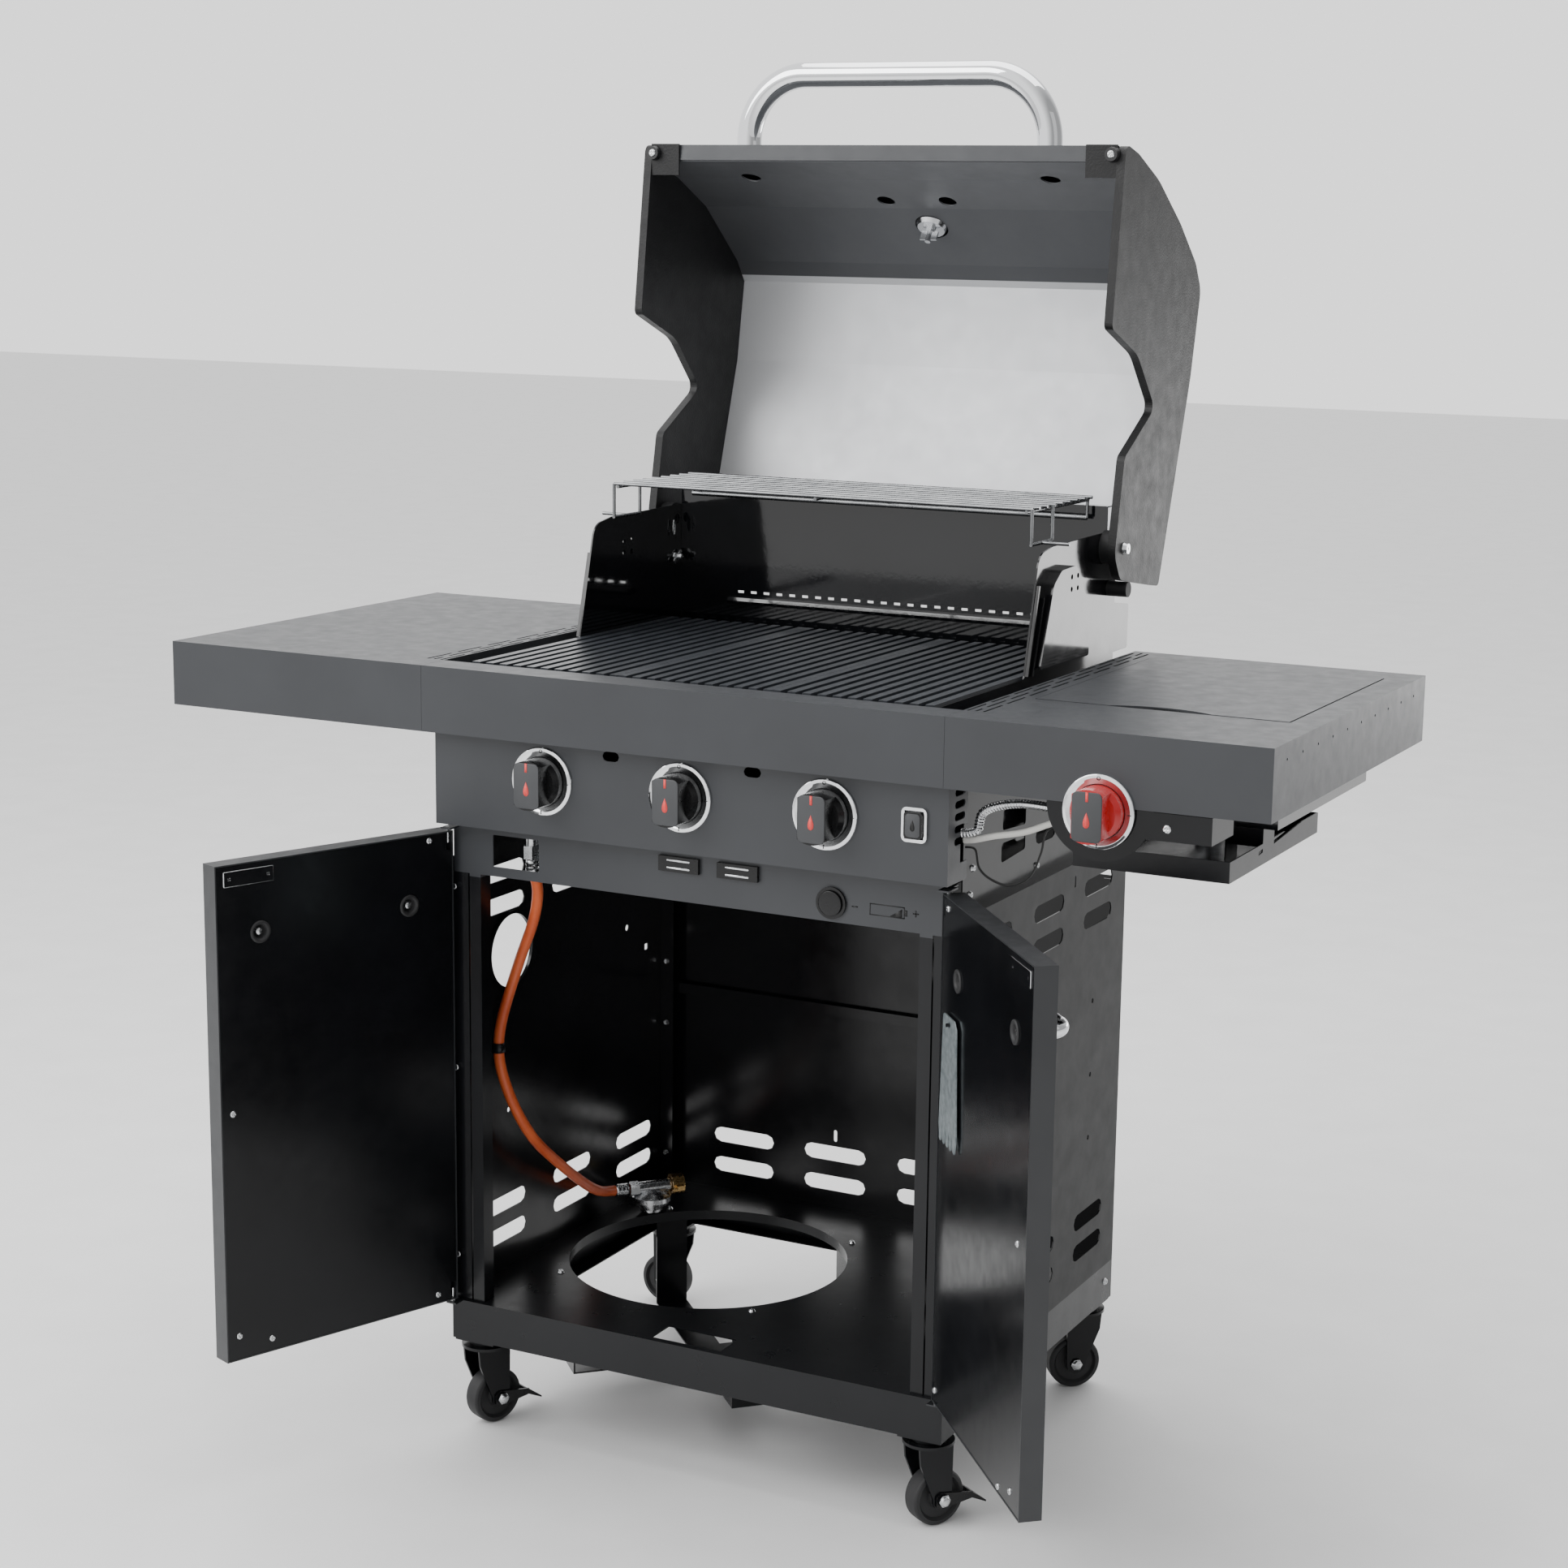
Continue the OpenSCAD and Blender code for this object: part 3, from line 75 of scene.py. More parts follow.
def look_from(name, at, yaw, pitch, roll, lens, shift):
    """A camera at a point, turned left by yaw, down by pitch and rolled, all in degrees."""
    data = bpy.data.cameras.new(name)
    data.lens = lens
    data.sensor_width = 36
    data.shift_x, data.shift_y = shift
    data.clip_end = 50
    camera = bpy.data.objects.new(name, data)
    bpy.context.scene.collection.objects.link(camera)
    turn = Euler((math.radians(90 - pitch), 0, math.radians(yaw)), "XYZ").to_matrix()
    turn = turn @ Matrix.Rotation(math.radians(roll), 3, "Z")
    camera.matrix_world = Matrix.Translation(at) @ turn.to_4x4()
    bpy.context.scene.camera = camera


look_from("camera", place(1502.8, -2608.7, 1398.8), 26.50, 11.17, 0.904, 65.80, (-0.0354, 0.0055))


# ---------- materials ----------

class Nodes:
    """A material's node tree, built a node at a time."""

    def __init__(self, name):
        self.material = bpy.data.materials.new(name)
        self.material.use_nodes = True
        self.tree = self.material.node_tree
        self.shader = self.tree.nodes["Principled BSDF"]
        self.where = self.add("ShaderNodeTexCoord").outputs["Object"]

    def add(self, kind, inputs=None, **settings):
        node = self.tree.nodes.new(kind)
        for key, value in settings.items():
            setattr(node, key, value)
        for key, value in (inputs or {}).items():
            if isinstance(value, bpy.types.NodeSocket):
                self.tree.links.new(value, node.inputs[key])
            else:
                node.inputs[key].default_value = value
        return node

    def noise(self, scale, detail=2.0, rough=0.5, stretch=(1, 1, 1)):
        where = self.add("ShaderNodeMapping", {"Vector": self.where, "Scale": stretch}).outputs[0]
        return self.add("ShaderNodeTexNoise", {"Vector": where, "Scale": scale, "Detail": detail,
                                               "Roughness": rough}).outputs["Fac"]

    def between(self, value, low, high, new_low=0.0, new_high=1.0):
        return self.add("ShaderNodeMapRange", {"Value": value, "From Min": low, "From Max": high,
                                               "To Min": new_low, "To Max": new_high}).outputs[0]

    def blend(self, amount, one, two):
        mix = self.add("ShaderNodeMix", data_type="RGBA")
        for key, value in ((0, amount), (6, one), (7, two)):
            if isinstance(value, bpy.types.NodeSocket):
                self.tree.links.new(value, mix.inputs[key])
            else:
                mix.inputs[key].default_value = (*value, 1) if key else value
        return mix.outputs[2]

    def set(self, key, value):
        if isinstance(value, bpy.types.NodeSocket):
            self.tree.links.new(value, self.shader.inputs[key])
        else:
            self.shader.inputs[key].default_value = value

    def bump(self, height, strength, depth):
        self.set("Normal", self.add("ShaderNodeBump", {"Height": height, "Strength": strength,
                                                       "Distance": depth}).outputs[0])


def finish_of(name, dark, light, rough, metal=0.0, mottle=9.0, grain=1400.0, bump=0.15, depth=0.0002,
              coat=0.0, stretch=(1, 1, 1), spread=0.06, shine=0.5):
    """A surface of two close shades, with a fine grain and a roughness that wanders a little."""
    n = Nodes(name)
    cloud = n.noise(mottle, 4.0)
    n.set("Base Color", n.blend(n.between(cloud, 0.3, 0.7), dark, light))
    fine = n.noise(grain, 2.0, 0.6, stretch)
    wander = n.noise(mottle * 5, 3.0, 0.6, stretch)
    n.set("Roughness", n.between(wander, 0.25, 0.75, rough - spread, rough + spread))
    n.set("Metallic", metal)
    n.set("Specular IOR Level", shine)
    n.set("Coat Weight", coat)
    n.set("Coat Roughness", 0.08)
    n.bump(fine, bump, depth)
    return n.material


def two_tone(name, near, far, axis, edge, mirrored=False, grain=1300.0, bump=0.12, shine=(0.5, 0.5)):
    """One look (dark, light, roughness, metal) nearer than an edge along an axis, and another beyond it."""
    n = Nodes(name)
    along = n.add("ShaderNodeSeparateXYZ", {"Vector": n.where}).outputs[axis]
    if mirrored:
        along = n.add("ShaderNodeMath", {0: along}, operation="ABSOLUTE").outputs[0]
    beyond = n.between(along, edge - 0.0003, edge + 0.0003)
    cloud = n.between(n.noise(8.0, 4.0), 0.3, 0.7)
    n.set("Base Color", n.blend(beyond, n.blend(cloud, near[0], near[1]), n.blend(cloud, far[0], far[1])))
    wander = n.between(n.noise(40.0, 3.0, 0.6), 0.25, 0.75, -0.04, 0.04)
    rough = n.between(beyond, 0, 1, near[2], far[2])
    n.set("Roughness", n.add("ShaderNodeMath", {0: rough, 1: wander}, operation="ADD").outputs[0])
    n.set("Metallic", n.between(beyond, 0, 1, near[3], far[3]))
    n.set("Specular IOR Level", n.between(beyond, 0, 1, *shine))
    n.bump(n.noise(grain, 2.0, 0.6), bump, 0.0002)
    return n.material


# dark shade, light shade, roughness, metal
GREY_LOOK = ((0.027, 0.029, 0.033), (0.033, 0.0355, 0.040), 0.40, 0.0)
BLACK_LOOK = ((0.0035, 0.0037, 0.0045), (0.007, 0.0075, 0.009), 0.20, 0.0)
ENAMEL_LOOK = ((0.0025, 0.0027, 0.0032), (0.006, 0.0065, 0.008), 0.07, 0.0)

SATIN = finish_of("satin_paint", *GREY_LOOK, bump=0.22)
# painted shade: the doors carry the fascia's grey paint, drawn darker than the satin grey
DOOR_PAINT_SHADED = finish_of("door_paint_painted_shade", (0.016, 0.017, 0.019), (0.021, 0.0225, 0.025), 0.38, bump=0.2)
GLOSS = finish_of("gloss_black", (0.0025, 0.0027, 0.0033), (0.005, 0.0054, 0.0066), 0.20,
                  grain=260, bump=0.05, depth=0.0004, spread=0.04, shine=0.32)
ENAMEL = finish_of("enamel", *ENAMEL_LOOK, grain=110, bump=0.10, depth=0.0006, coat=0.6, spread=0.03)
PORCELAIN = finish_of("grate_porcelain", (0.020, 0.023, 0.028), (0.036, 0.040, 0.047), 0.33,
                      grain=700, bump=0.35, depth=0.0004, mottle=60)
CHROME = finish_of("chrome", (0.74, 0.75, 0.77), (0.82, 0.83, 0.84), 0.05, metal=1.0,
                   grain=300, bump=0.015, spread=0.02)
STEEL = finish_of("brushed_steel", (0.42, 0.43, 0.45), (0.55, 0.56, 0.58), 0.30, metal=1.0,
                  grain=500, bump=0.12, stretch=(1, 12, 12))
ZINC = finish_of("zinc", (0.50, 0.51, 0.52), (0.70, 0.71, 0.72), 0.25, metal=1.0,
                 mottle=90, grain=900, bump=0.1)
GALVANISED = finish_of("galvanised", (0.30, 0.35, 0.37), (0.52, 0.58, 0.60), 0.42, metal=0.8,
                       mottle=130, grain=300, bump=0.2)
TEXTURED = finish_of("textured_cap_paint", (0.008, 0.008, 0.0085), (0.014, 0.014, 0.0145), 0.46,
                     grain=420, bump=0.55, depth=0.0006, shine=0.3)
PLASTIC = finish_of("black_plastic", (0.004, 0.004, 0.0045), (0.007, 0.007, 0.0075), 0.27,
                    grain=900, bump=0.012, shine=0.35)
RUBBER = finish_of("rubber", (0.008, 0.008, 0.009), (0.016, 0.016, 0.017), 0.62, grain=900, bump=0.3)
GRIP = finish_of("knob_grip", (0.040, 0.042, 0.045), (0.050, 0.052, 0.056), 0.5, grain=2200, bump=0.3)
RED = finish_of("red_plastic", (0.42, 0.010, 0.012), (0.52, 0.016, 0.018), 0.26, grain=900, bump=0.012)
MARK = finish_of("red_mark", (0.72, 0.05, 0.05), (0.80, 0.08, 0.07), 0.45, grain=1500, bump=0.05)
ORANGE = finish_of("hose_rubber", (0.60, 0.085, 0.022), (0.78, 0.15, 0.045), 0.42,
                   grain=500, bump=0.12, mottle=25, stretch=(1, 1, 0.2))
BRASS = finish_of("brass", (0.52, 0.33, 0.13), (0.68, 0.46, 0.20), 0.28, metal=1.0, mottle=80, bump=0.08)
WHITE_SLEEVE = finish_of("white_sleeve", (0.62, 0.61, 0.58), (0.75, 0.74, 0.71), 0.5,
                         grain=700, bump=0.25)
INK = finish_of("ink", (0.004, 0.004, 0.004), (0.009, 0.009, 0.009), 0.5)
RACK = finish_of("rack_wire", (0.16, 0.165, 0.17), (0.26, 0.265, 0.27), 0.25, metal=1.0,
                 mottle=30, grain=700, bump=0.1)
BRIGHT = finish_of("bright_steel", (0.62, 0.63, 0.65), (0.74, 0.75, 0.76), 0.22, metal=1.0,
                   mottle=60, grain=700, bump=0.08)

# gloss black inside the cart, satin black on its outer sides
SIDE = two_tone("side_panels", BLACK_LOOK, ((0.006, 0.0063, 0.0066), (0.009, 0.0094, 0.010), 0.46, 0.0),
                0, 0.3155, True, shine=(0.3, 0.2))
# black posts below the grey brace
POSTS = two_tone("posts_and_brace", BLACK_LOOK, GREY_LOOK,
                 2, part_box("front_frame")[1][2] - 0.0575, shine=(0.3, 0.5))
# grey front edge, black floor
PAN = two_tone("base_pan", ((0.019, 0.0205, 0.023), (0.024, 0.0257, 0.029), 0.40, 0.0),
               ((0.006, 0.0064, 0.0075), (0.009, 0.0096, 0.011), 0.30, 0.0),
               1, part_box("base_pan")[0][1] + 0.001, shine=(0.5, 0.3))
# the thermometer's stem and case near the middle, black bumpers at the corners
FITTINGS = two_tone("lid_fittings", ((0.55, 0.56, 0.58), (0.68, 0.69, 0.70), 0.20, 1.0),
                    ((0.006, 0.006, 0.007), (0.012, 0.012, 0.013), 0.40, 0.0), 0, 0.15, True)
# one liner material in two tones: painted highlight below the edge (near white), painted shade above it (dark
# grey)
LINER_PAINTED_LIGHT = two_tone("aluminised_liner_painted_light", ((0.74, 0.75, 0.77), (0.80, 0.81, 0.83), 0.52, 0.35),
                 ((0.105, 0.109, 0.117), (0.120, 0.124, 0.132), 0.45, 0.35),
                 2, LID_HINGE.z + 0.299, grain=600.0)
# enamel inside the firebox, plain black outside
FIREBOX = two_tone("firebox_sides", ENAMEL_LOOK,
                   ((0.004, 0.004, 0.005), (0.008, 0.008, 0.009), 0.12, 0.0), 0, 0.2875, True, 110.0, 0.10)

FINISHES = {
    SATIN: ["shelf_left", "shelf_right", "console_fascia", "control_panel", "side_burner_lid", "lid_shell"],
    DOOR_PAINT_SHADED: ["door_left_shell", "door_right_shell"],
    PAN: ["base_pan"],
    POSTS: ["front_frame"],
    SIDE: ["side_panel_left", "side_panel_right"],
    GLOSS: ["back_panel", "bottle_straps", "door_left_liner", "door_right_liner", "side_burner_brackets",
            "fork_front_left", "fork_front_right", "fork_rear_left", "fork_rear_right"],
    FIREBOX: ["firebox_side_left", "firebox_side_right"],
    ENAMEL: ["firebox_walls", "side_burner_bowl", "heat_emitters"],
    FITTINGS: ["lid_fittings"],
    PORCELAIN: ["cooking_grates"],
    CHROME: ["panel_bezels", "lid_handle", "door_left_handle", "door_right_handle"],
    LINER_PAINTED_LIGHT: ["lid_liner"],
    STEEL: ["burners", "side_burner", "grease_tray"],
    RACK: ["warming_rack"],
    GALVANISED: ["scraper_tool"],
    ZINC: ["gas_manifold", "cart_fasteners", "regulator_body", "side_burner_lines"],
    TEXTURED: ["lid_cap_left", "lid_cap_right"],
    PLASTIC: ["cabinet_clips", "battery_cap", "knob_left", "knob_middle", "knob_right", "igniter_button",
              "brake_front_left", "brake_front_right"],
    RUBBER: ["lid_hinge_bosses", "wheel_front_left", "wheel_front_right", "wheel_rear_left",
             "wheel_rear_right"],
    RED: ["knob_side"],
    BRASS: ["regulator_nut"],
    ORANGE: ["gas_hose"],
}


def dress(node, material, edge=0.0005):
    """Gives a CAD node its finish and a fine rounding along its sharp edges."""
    piece = frame["nodes"][node]
    piece.data.materials.clear()
    piece.data.materials.append(material)
    bevel = piece.modifiers.new("edges", "BEVEL")
    bevel.width = edge
    bevel.segments = 2
    bevel.limit_method = "ANGLE"
    bevel.angle_limit = math.radians(38)
    bevel.harden_normals = True
    bevel.use_clamp_overlap = True


for finish, nodes in FINISHES.items():
    for node in nodes:
        dress(node, finish)


# ---------- small makers ----------

def scaled(points):
    """Millimetre outline points in metres."""
    return [(x * MM, y * MM) for x, y in points]


def around(radius, steps):
    """Points evenly round a circle."""
    turns = [2 * math.pi * k / steps for k in range(steps)]
    return [(radius * math.cos(turn), radius * math.sin(turn)) for turn in turns]


def join_rings(bm, one, two):
    """A band of faces between two rings; a ring may be a single point."""
    steps = max(len(one), len(two))
    for k in range(steps):
        after = k + 1
        quad = [one[k % len(one)], one[after % len(one)], two[after % len(two)], two[k % len(two)]]
        bm.faces.new(list(dict.fromkeys(quad)))


def add_piece(name, mesh, material, body):
    """A smooth-shaded mesh piece that rides on a body."""
    mesh.materials.append(material)
    for face in mesh.polygons:
        face.use_smooth = True
    piece = bpy.data.objects.new(name, mesh)
    bpy.context.scene.collection.objects.link(piece)
    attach(piece, body)
    return piece


def lathe(bm, profile, steps, matrix):
    """Turns a profile of (radius, height) points round local Z and moves it by the matrix."""
    rings = []
    for radius, height in profile:
        if radius < 1e-7:
            rings.append([bm.verts.new(matrix @ Vector((0, 0, height)))])
        else:
            rings.append([bm.verts.new(matrix @ Vector((x, y, height))) for x, y in around(radius, steps)])
    for low, high in zip(rings, rings[1:]):
        join_rings(bm, low, high)


def slab(bm, outline, low, high, matrix, rim=0.0):
    """Extrudes an outline between two heights along local Z, with a small rounded rim on top."""
    layers = [(low, 1.0), (high - rim, 1.0), (high - rim * 0.3, 1.0 - rim * 20), (high, 1.0 - rim * 60)]
    if not rim:
        layers = layers[:1] + [(high, 1.0)]
    rings = [[bm.verts.new(matrix @ Vector((x * scale, y * scale, z))) for x, y in outline]
             for z, scale in layers]
    for one, two in zip(rings, rings[1:]):
        join_rings(bm, one, two)
    bm.faces.new(rings[0][::-1])
    bm.faces.new(rings[-1])


def as_mesh(name, bm):
    """Closes the bmesh into a mesh."""
    bmesh.ops.recalc_face_normals(bm, faces=bm.faces)
    mesh = bpy.data.meshes.new(name)
    bm.to_mesh(mesh)
    bm.free()
    return mesh


def facing(at, normal, spin=0.0):
    """A matrix whose local Z points along the normal, at a point."""
    turn = Vector(normal).normalized().to_track_quat("Z", "Y").to_matrix().to_4x4()
    return Matrix.Translation(at) @ turn @ Matrix.Rotation(spin, 4, "Z")


def screw(bm, matrix, radius=0.0042, height=0.0022, steps=24):
    """A domed head with a cross recess."""
    rings = 6
    grid = []
    for i in range(rings + 1):
        share = i / rings
        dome = height * math.sqrt(max(0.0, 1 - share * share * 0.97))
        ring = []
        for x, y in around(radius * share, steps):
            in_cross = min(abs(x), abs(y)) < radius * 0.13 and share < 0.62
            ring.append(bm.verts.new(matrix @ Vector((x, y, dome - (height * 0.5 if in_cross else 0)))))
        grid.append(ring)
    grid.append([bm.verts.new(matrix @ Vector((x, y, 0))) for x, y in around(radius, steps)])
    for one, two in zip(grid, grid[1:]):
        join_rings(bm, one, two)


def screws(name, body, places, radius=0.0042, height=0.0022):
    """Domed screws at (point, normal) places, as one piece."""
    bm = bmesh.new()
    for k, (at, normal) in enumerate(places):
        screw(bm, facing(at, normal, 0.7 * k), radius, height)
    bmesh.ops.remove_doubles(bm, verts=bm.verts, dist=1e-7)
    return add_piece(name, as_mesh(name, bm), ZINC, body)


def wire(name, points, radius, material, body):
    """A round wire through points."""
    curve = bpy.data.curves.new(name, "CURVE")
    curve.dimensions = "3D"
    curve.bevel_depth = radius
    curve.bevel_resolution = 4
    curve.use_fill_caps = True
    spline = curve.splines.new("POLY")
    spline.points.add(len(points) - 1)
    for point, at in zip(spline.points, points):
        point.co = (*at, 1)
    curve.materials.append(material)
    piece = bpy.data.objects.new(name, curve)
    bpy.context.scene.collection.objects.link(piece)
    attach(piece, body)
    return piece


def smooth(route, steps=3):
    """Points on a smooth curve through a route, a few between each pair."""
    last = len(route) - 1
    points = []
    for i in range(last):
        a, b, c, d = (Vector(route[k]) for k in (max(i - 1, 0), i, i + 1, min(i + 2, last)))
        for s in range(steps):
            t = s / steps
            points.append(b + 0.5 * t * (c - a + t * (2 * a - 5 * b + 4 * c - d + t * (3 * (b - c) + d - a))))
    points.append(Vector(route[last]))
    return points


# ---------- doors ----------

DOORS = {"left": (-1, LEFT_HINGE, LEFT_OPEN), "right": (1, RIGHT_HINGE, RIGHT_OPEN)}
LINER_FACE = 0.0045                         # from the pivot to the liner's inner face
DOOR_SCREWS = {"left": [(28, 713), (23, 172), (245, 176), (286, 189), (287, 444)],
               "right": [(16, 709), (6, 176), (233, 168), (271, 180), (273, 437)]}
STRIKE_AT = (261, 705)                      # along the door and up, in mm
STRIKE_SCREWS = (237, 285)
HANDLE_BOLTS = (56, 248)
BOLT_HEIGHT = DOOR_HIGH / MM - 79


def on_door(side, along, height, out=0.0):
    """A matrix on a door's inner face as drawn open: X along the door, Z out of the face."""
    sign, hinge, opened = DOORS[side]
    way = Vector((-sign * math.cos(opened), -math.sin(opened), 0))
    normal = Vector((-sign * math.sin(opened), math.cos(opened), 0))
    up = Vector((0, 0, 1))
    at = Vector((hinge.x, hinge.y, 0)) + way * along * MM + up * height * MM
    at += normal * (LINER_FACE + out * MM)
    return Matrix.Translation(at) @ Matrix((up.cross(normal), up, normal)).transposed().to_4x4()


def rounded_box(width, height, radius, steps=5):
    """An outline of a rectangle with round corners."""
    points = []
    for k, (sx, sy) in enumerate(((1, 1), (-1, 1), (-1, -1), (1, -1))):
        for i in range(steps + 1):
            angle = math.pi / 2 * (k + i / steps)
            points.append((sx * (width / 2 - radius) + radius * math.cos(angle),
                           sy * (height / 2 - radius) + radius * math.sin(angle)))
    return points


def grommet(bm, matrix):
    """A rubber ring in a door's hole, with the end of the handle's bolt in it."""
    lathe(bm, [(0.0105, -0.002), (0.0125, 0.0), (0.0125, 0.0012), (0.0108, 0.002), (0.0088, 0.0014),
               (0.0074, -0.001), (0.0070, -0.006), (0.0, -0.006)], 40, matrix)


for side in DOORS:
    body = "door_" + side
    bm = bmesh.new()
    for k, (along, height) in enumerate(DOOR_SCREWS[side]):
        screw(bm, on_door(side, along, height) @ Matrix.Rotation(0.7 * k, 4, "Z"), 0.0038)
    for along in STRIKE_SCREWS:
        screw(bm, on_door(side, along, STRIKE_AT[1], 0.7), 0.0034, 0.0005)
    for along in HANDLE_BOLTS:
        lathe(bm, [(0.0045, -0.0058), (0.0045, -0.0022), (0.0032, -0.0012), (0.0, -0.0010)], 20,
              on_door(side, along, BOLT_HEIGHT))
    add_piece(body + "_screws", as_mesh(body + "_screws", bm), ZINC, body)
    bm = bmesh.new()
    slab(bm, scaled(rounded_box(62, 17, 1.5)), 0.0, 0.0009, on_door(side, *STRIKE_AT), 0.0003)
    add_piece(body + "_strike", as_mesh(body + "_strike", bm), BRIGHT, body)
    bm = bmesh.new()
    for along in HANDLE_BOLTS:
        grommet(bm, on_door(side, along, BOLT_HEIGHT))
    add_piece(body + "_grommets", as_mesh(body + "_grommets", bm), RUBBER, body)


# ---------- knobs ----------

def front(x, y, z):
    """A matrix at a point in millimetres that faces the cook: X right, Y up, Z towards the front."""
    upright = Matrix(((1, 0, 0), (0, 0, -1), (0, 1, 0))).to_4x4()
    return Matrix.Translation(place(x, y, z)) @ upright


def drop(width, height, steps=20):
    """A plain drop with its point up."""
    points = []
    for k in range(2 * steps):
        angle = math.pi * k / steps
        swell = math.sin(angle / 2) ** 1.4
        points.append((width / 2 * math.sin(angle) * swell, height / 2 * math.cos(angle)))
    return points


def bar(left_right, low_high):
    """A rectangle's outline from its two spans."""
    (left, right), (low, high) = left_right, low_high
    return [(left, low), (right, low), (right, high), (left, high)]


KNOB_ROW = 793.5                            # height of the knobs and the igniter
KNOBS = {"knob_left": (-175, 21, KNOB_ROW), "knob_middle": (0, 21, KNOB_ROW),
         "knob_right": (175, 21, KNOB_ROW), "knob_side": (490, -1, 833.5)}
KNOB_HIGH = 32
RING_MARKS = 34.2                           # from the knob's middle to the marks above and below it
for name, (x, y, z) in KNOBS.items():
    face = front(x, y - KNOB_HIGH, z)
    bm = bmesh.new()
    slab(bm, scaled(rounded_box(32, 50.5, 6)), -0.0006, 0.0009, face, 0.0005)
    add_piece(name + "_grip", as_mesh(name + "_grip", bm), GRIP, name)
    bm = bmesh.new()
    slab(bm, scaled(bar((-1.4, 1.4), (15.5, 25.2))), 0.0005, 0.00115, face)
    slab(bm, [(px, py - 0.003) for px, py in scaled(drop(9.5, 16))], 0.0005, 0.00115, face)
    add_piece(name + "_marks", as_mesh(name + "_marks", bm), MARK, name)
    bm = bmesh.new()
    ring = front(x, y - 2.95, z)
    lathe(bm, [(0.0015, 0.0), (0.0015, 0.0003), (0.0021, 0.0003), (0.0021, 0.0)], 24,
          ring @ Matrix.Translation((0, RING_MARKS * MM, 0)))
    slab(bm, scaled(bar((-0.4, 0.4), (-2.2, 2.2))), 0.0, 0.0003,
         ring @ Matrix.Translation((0, -RING_MARKS * MM, 0)))
    slab(bm, scaled(bar((31.4, 35.6), (-0.4, 0.4))), 0.0, 0.0003, ring)
    add_piece(name + "_ring_marks", as_mesh(name + "_ring_marks", bm), INK, "cart")

bm = bmesh.new()
slab(bm, scaled(rounded_box(17, 25, 4)), 0.0, 0.0008, front(279, 16, KNOB_ROW), 0.0004)
add_piece("igniter_face", as_mesh("igniter_face", bm), GRIP, "igniter_button")
bm = bmesh.new()
slab(bm, scaled(drop(7, 12)), 0.0006, 0.0011, front(279, 16, KNOB_ROW))
add_piece("igniter_mark", as_mesh("igniter_mark", bm), INK, "igniter_button")


# ---------- brace: magnets, battery sign and cap ----------

MAGNET_FACE, MAGNET_HEIGHT = 43.5, 713
BRACE_FACE = 48
CAP_AT = (171, 43.2, 692.5)

bm = bmesh.new()
for x in (-15, 58):
    for dz in (-4.2, 4.2):
        slab(bm, scaled(rounded_box(29, 2.0, 0.9)), -0.0005, 0.0003,
             front(x, MAGNET_FACE, MAGNET_HEIGHT + dz), 0.0001)
add_piece("magnet_bars", as_mesh("magnet_bars", bm), ZINC, "cart")

bm = bmesh.new()
sign = front(0, BRACE_FACE, 0)
for xs, zs in (((216, 257), (696.6, 697.6)), ((216, 257), (684.8, 685.8)), ((216, 217), (685, 697)),
               ((256, 257), (685, 697)), ((257, 260), (688, 694.5)), ((195, 202), (690.7, 692.1)),
               ((266.5, 273.5), (691.3, 692.7)), ((269.3, 270.7), (688.5, 695.5))):
    slab(bm, scaled(bar(xs, zs)), 0.0, 0.00025, sign)
slab(bm, scaled([(240, 686), (254, 686), (254, 695)]), 0.0, 0.00025, sign)
add_piece("battery_sign", as_mesh("battery_sign", bm), INK, "cart")

bm = bmesh.new()
lathe(bm, [(0.0138, 0.0), (0.0138, 0.0004), (0.0128, 0.0007), (0.0100, 0.0009), (0.0, 0.0009)], 48,
      front(*CAP_AT))
add_piece("battery_cap_boss", as_mesh("battery_cap_boss", bm), PLASTIC, "battery_cap")


# ---------- lid ----------

LID_SCREWS = [(547.5, 1456.2), (684.8, 1380.6), (734.2, 1262.8)]
DIAL_AT = place(0, 648.3, 1423.6)
DIAL_WAY = (0, 0.53, 0.848)

screws("bumper_screws", "lid", [(place(x, 465.6, 1483), (0, -1, 0)) for x in (-297, 297)], 0.0046)
screws("lid_flange_screws", "lid", [(place(-300.4, *spot), (1, 0, 0)) for spot in LID_SCREWS], 0.0036)
bm = bmesh.new()
lathe(bm, [(0.0, 0.0), (0.030, 0.0), (0.033, 0.0006), (0.0335, 0.0)], 64, facing(DIAL_AT, DIAL_WAY))
add_piece("dial_face", as_mesh("dial_face", bm), WHITE_SLEEVE, "lid")
bm = bmesh.new()
pointer = scaled([(-0.9, -4), (0.9, -4), (0.35, 24), (-0.35, 24)])
slab(bm, pointer, 0.0008, 0.0012, facing(DIAL_AT, DIAL_WAY, 2.2))
for k in range(13):
    at = facing(DIAL_AT, DIAL_WAY, math.radians(-135 + 22.5 * k))
    slab(bm, scaled(bar((-0.5, 0.5), (25.5, 30 if k % 3 == 0 else 28.5))), 0.0005, 0.0009, at)
add_piece("dial_marks", as_mesh("dial_marks", bm), INK, "lid")


# ---------- firebox and cart screws ----------

FIREBOX_SPOTS = [(486, 910), (506, 990)]    # back and up, on each inner side

places = [(place(-sx * 285.9, *spot), (sx, 0, 0)) for sx in (1, -1) for spot in FIREBOX_SPOTS]
screws("firebox_screws", "cart", places, 0.0052)
bm = bmesh.new()
for turn in (0.6, 0.6 + math.pi):
    at = facing(place(-283.6, *FIREBOX_SPOTS[1]), (1, 0, 0), turn)
    slab(bm, [(x + 0.006, y) for x, y in scaled(rounded_box(11, 7, 3))], 0.0, 0.0022, at, 0.0004)
lathe(bm, [(0.0035, 0.0), (0.0035, 0.009), (0.0026, 0.010), (0.0, 0.010)], 20,
      facing(place(-285.5, *FIREBOX_SPOTS[1]), (1, 0, 0)))
add_piece("wing_bolt", as_mesh("wing_bolt", bm), ZINC, "cart")
loop = [place(-282.5, 497 + 2.2 * math.cos(a), 1031 + 9 * math.sin(a) - 4)
        for a in [0.2 * k for k in range(-7, 25)]]
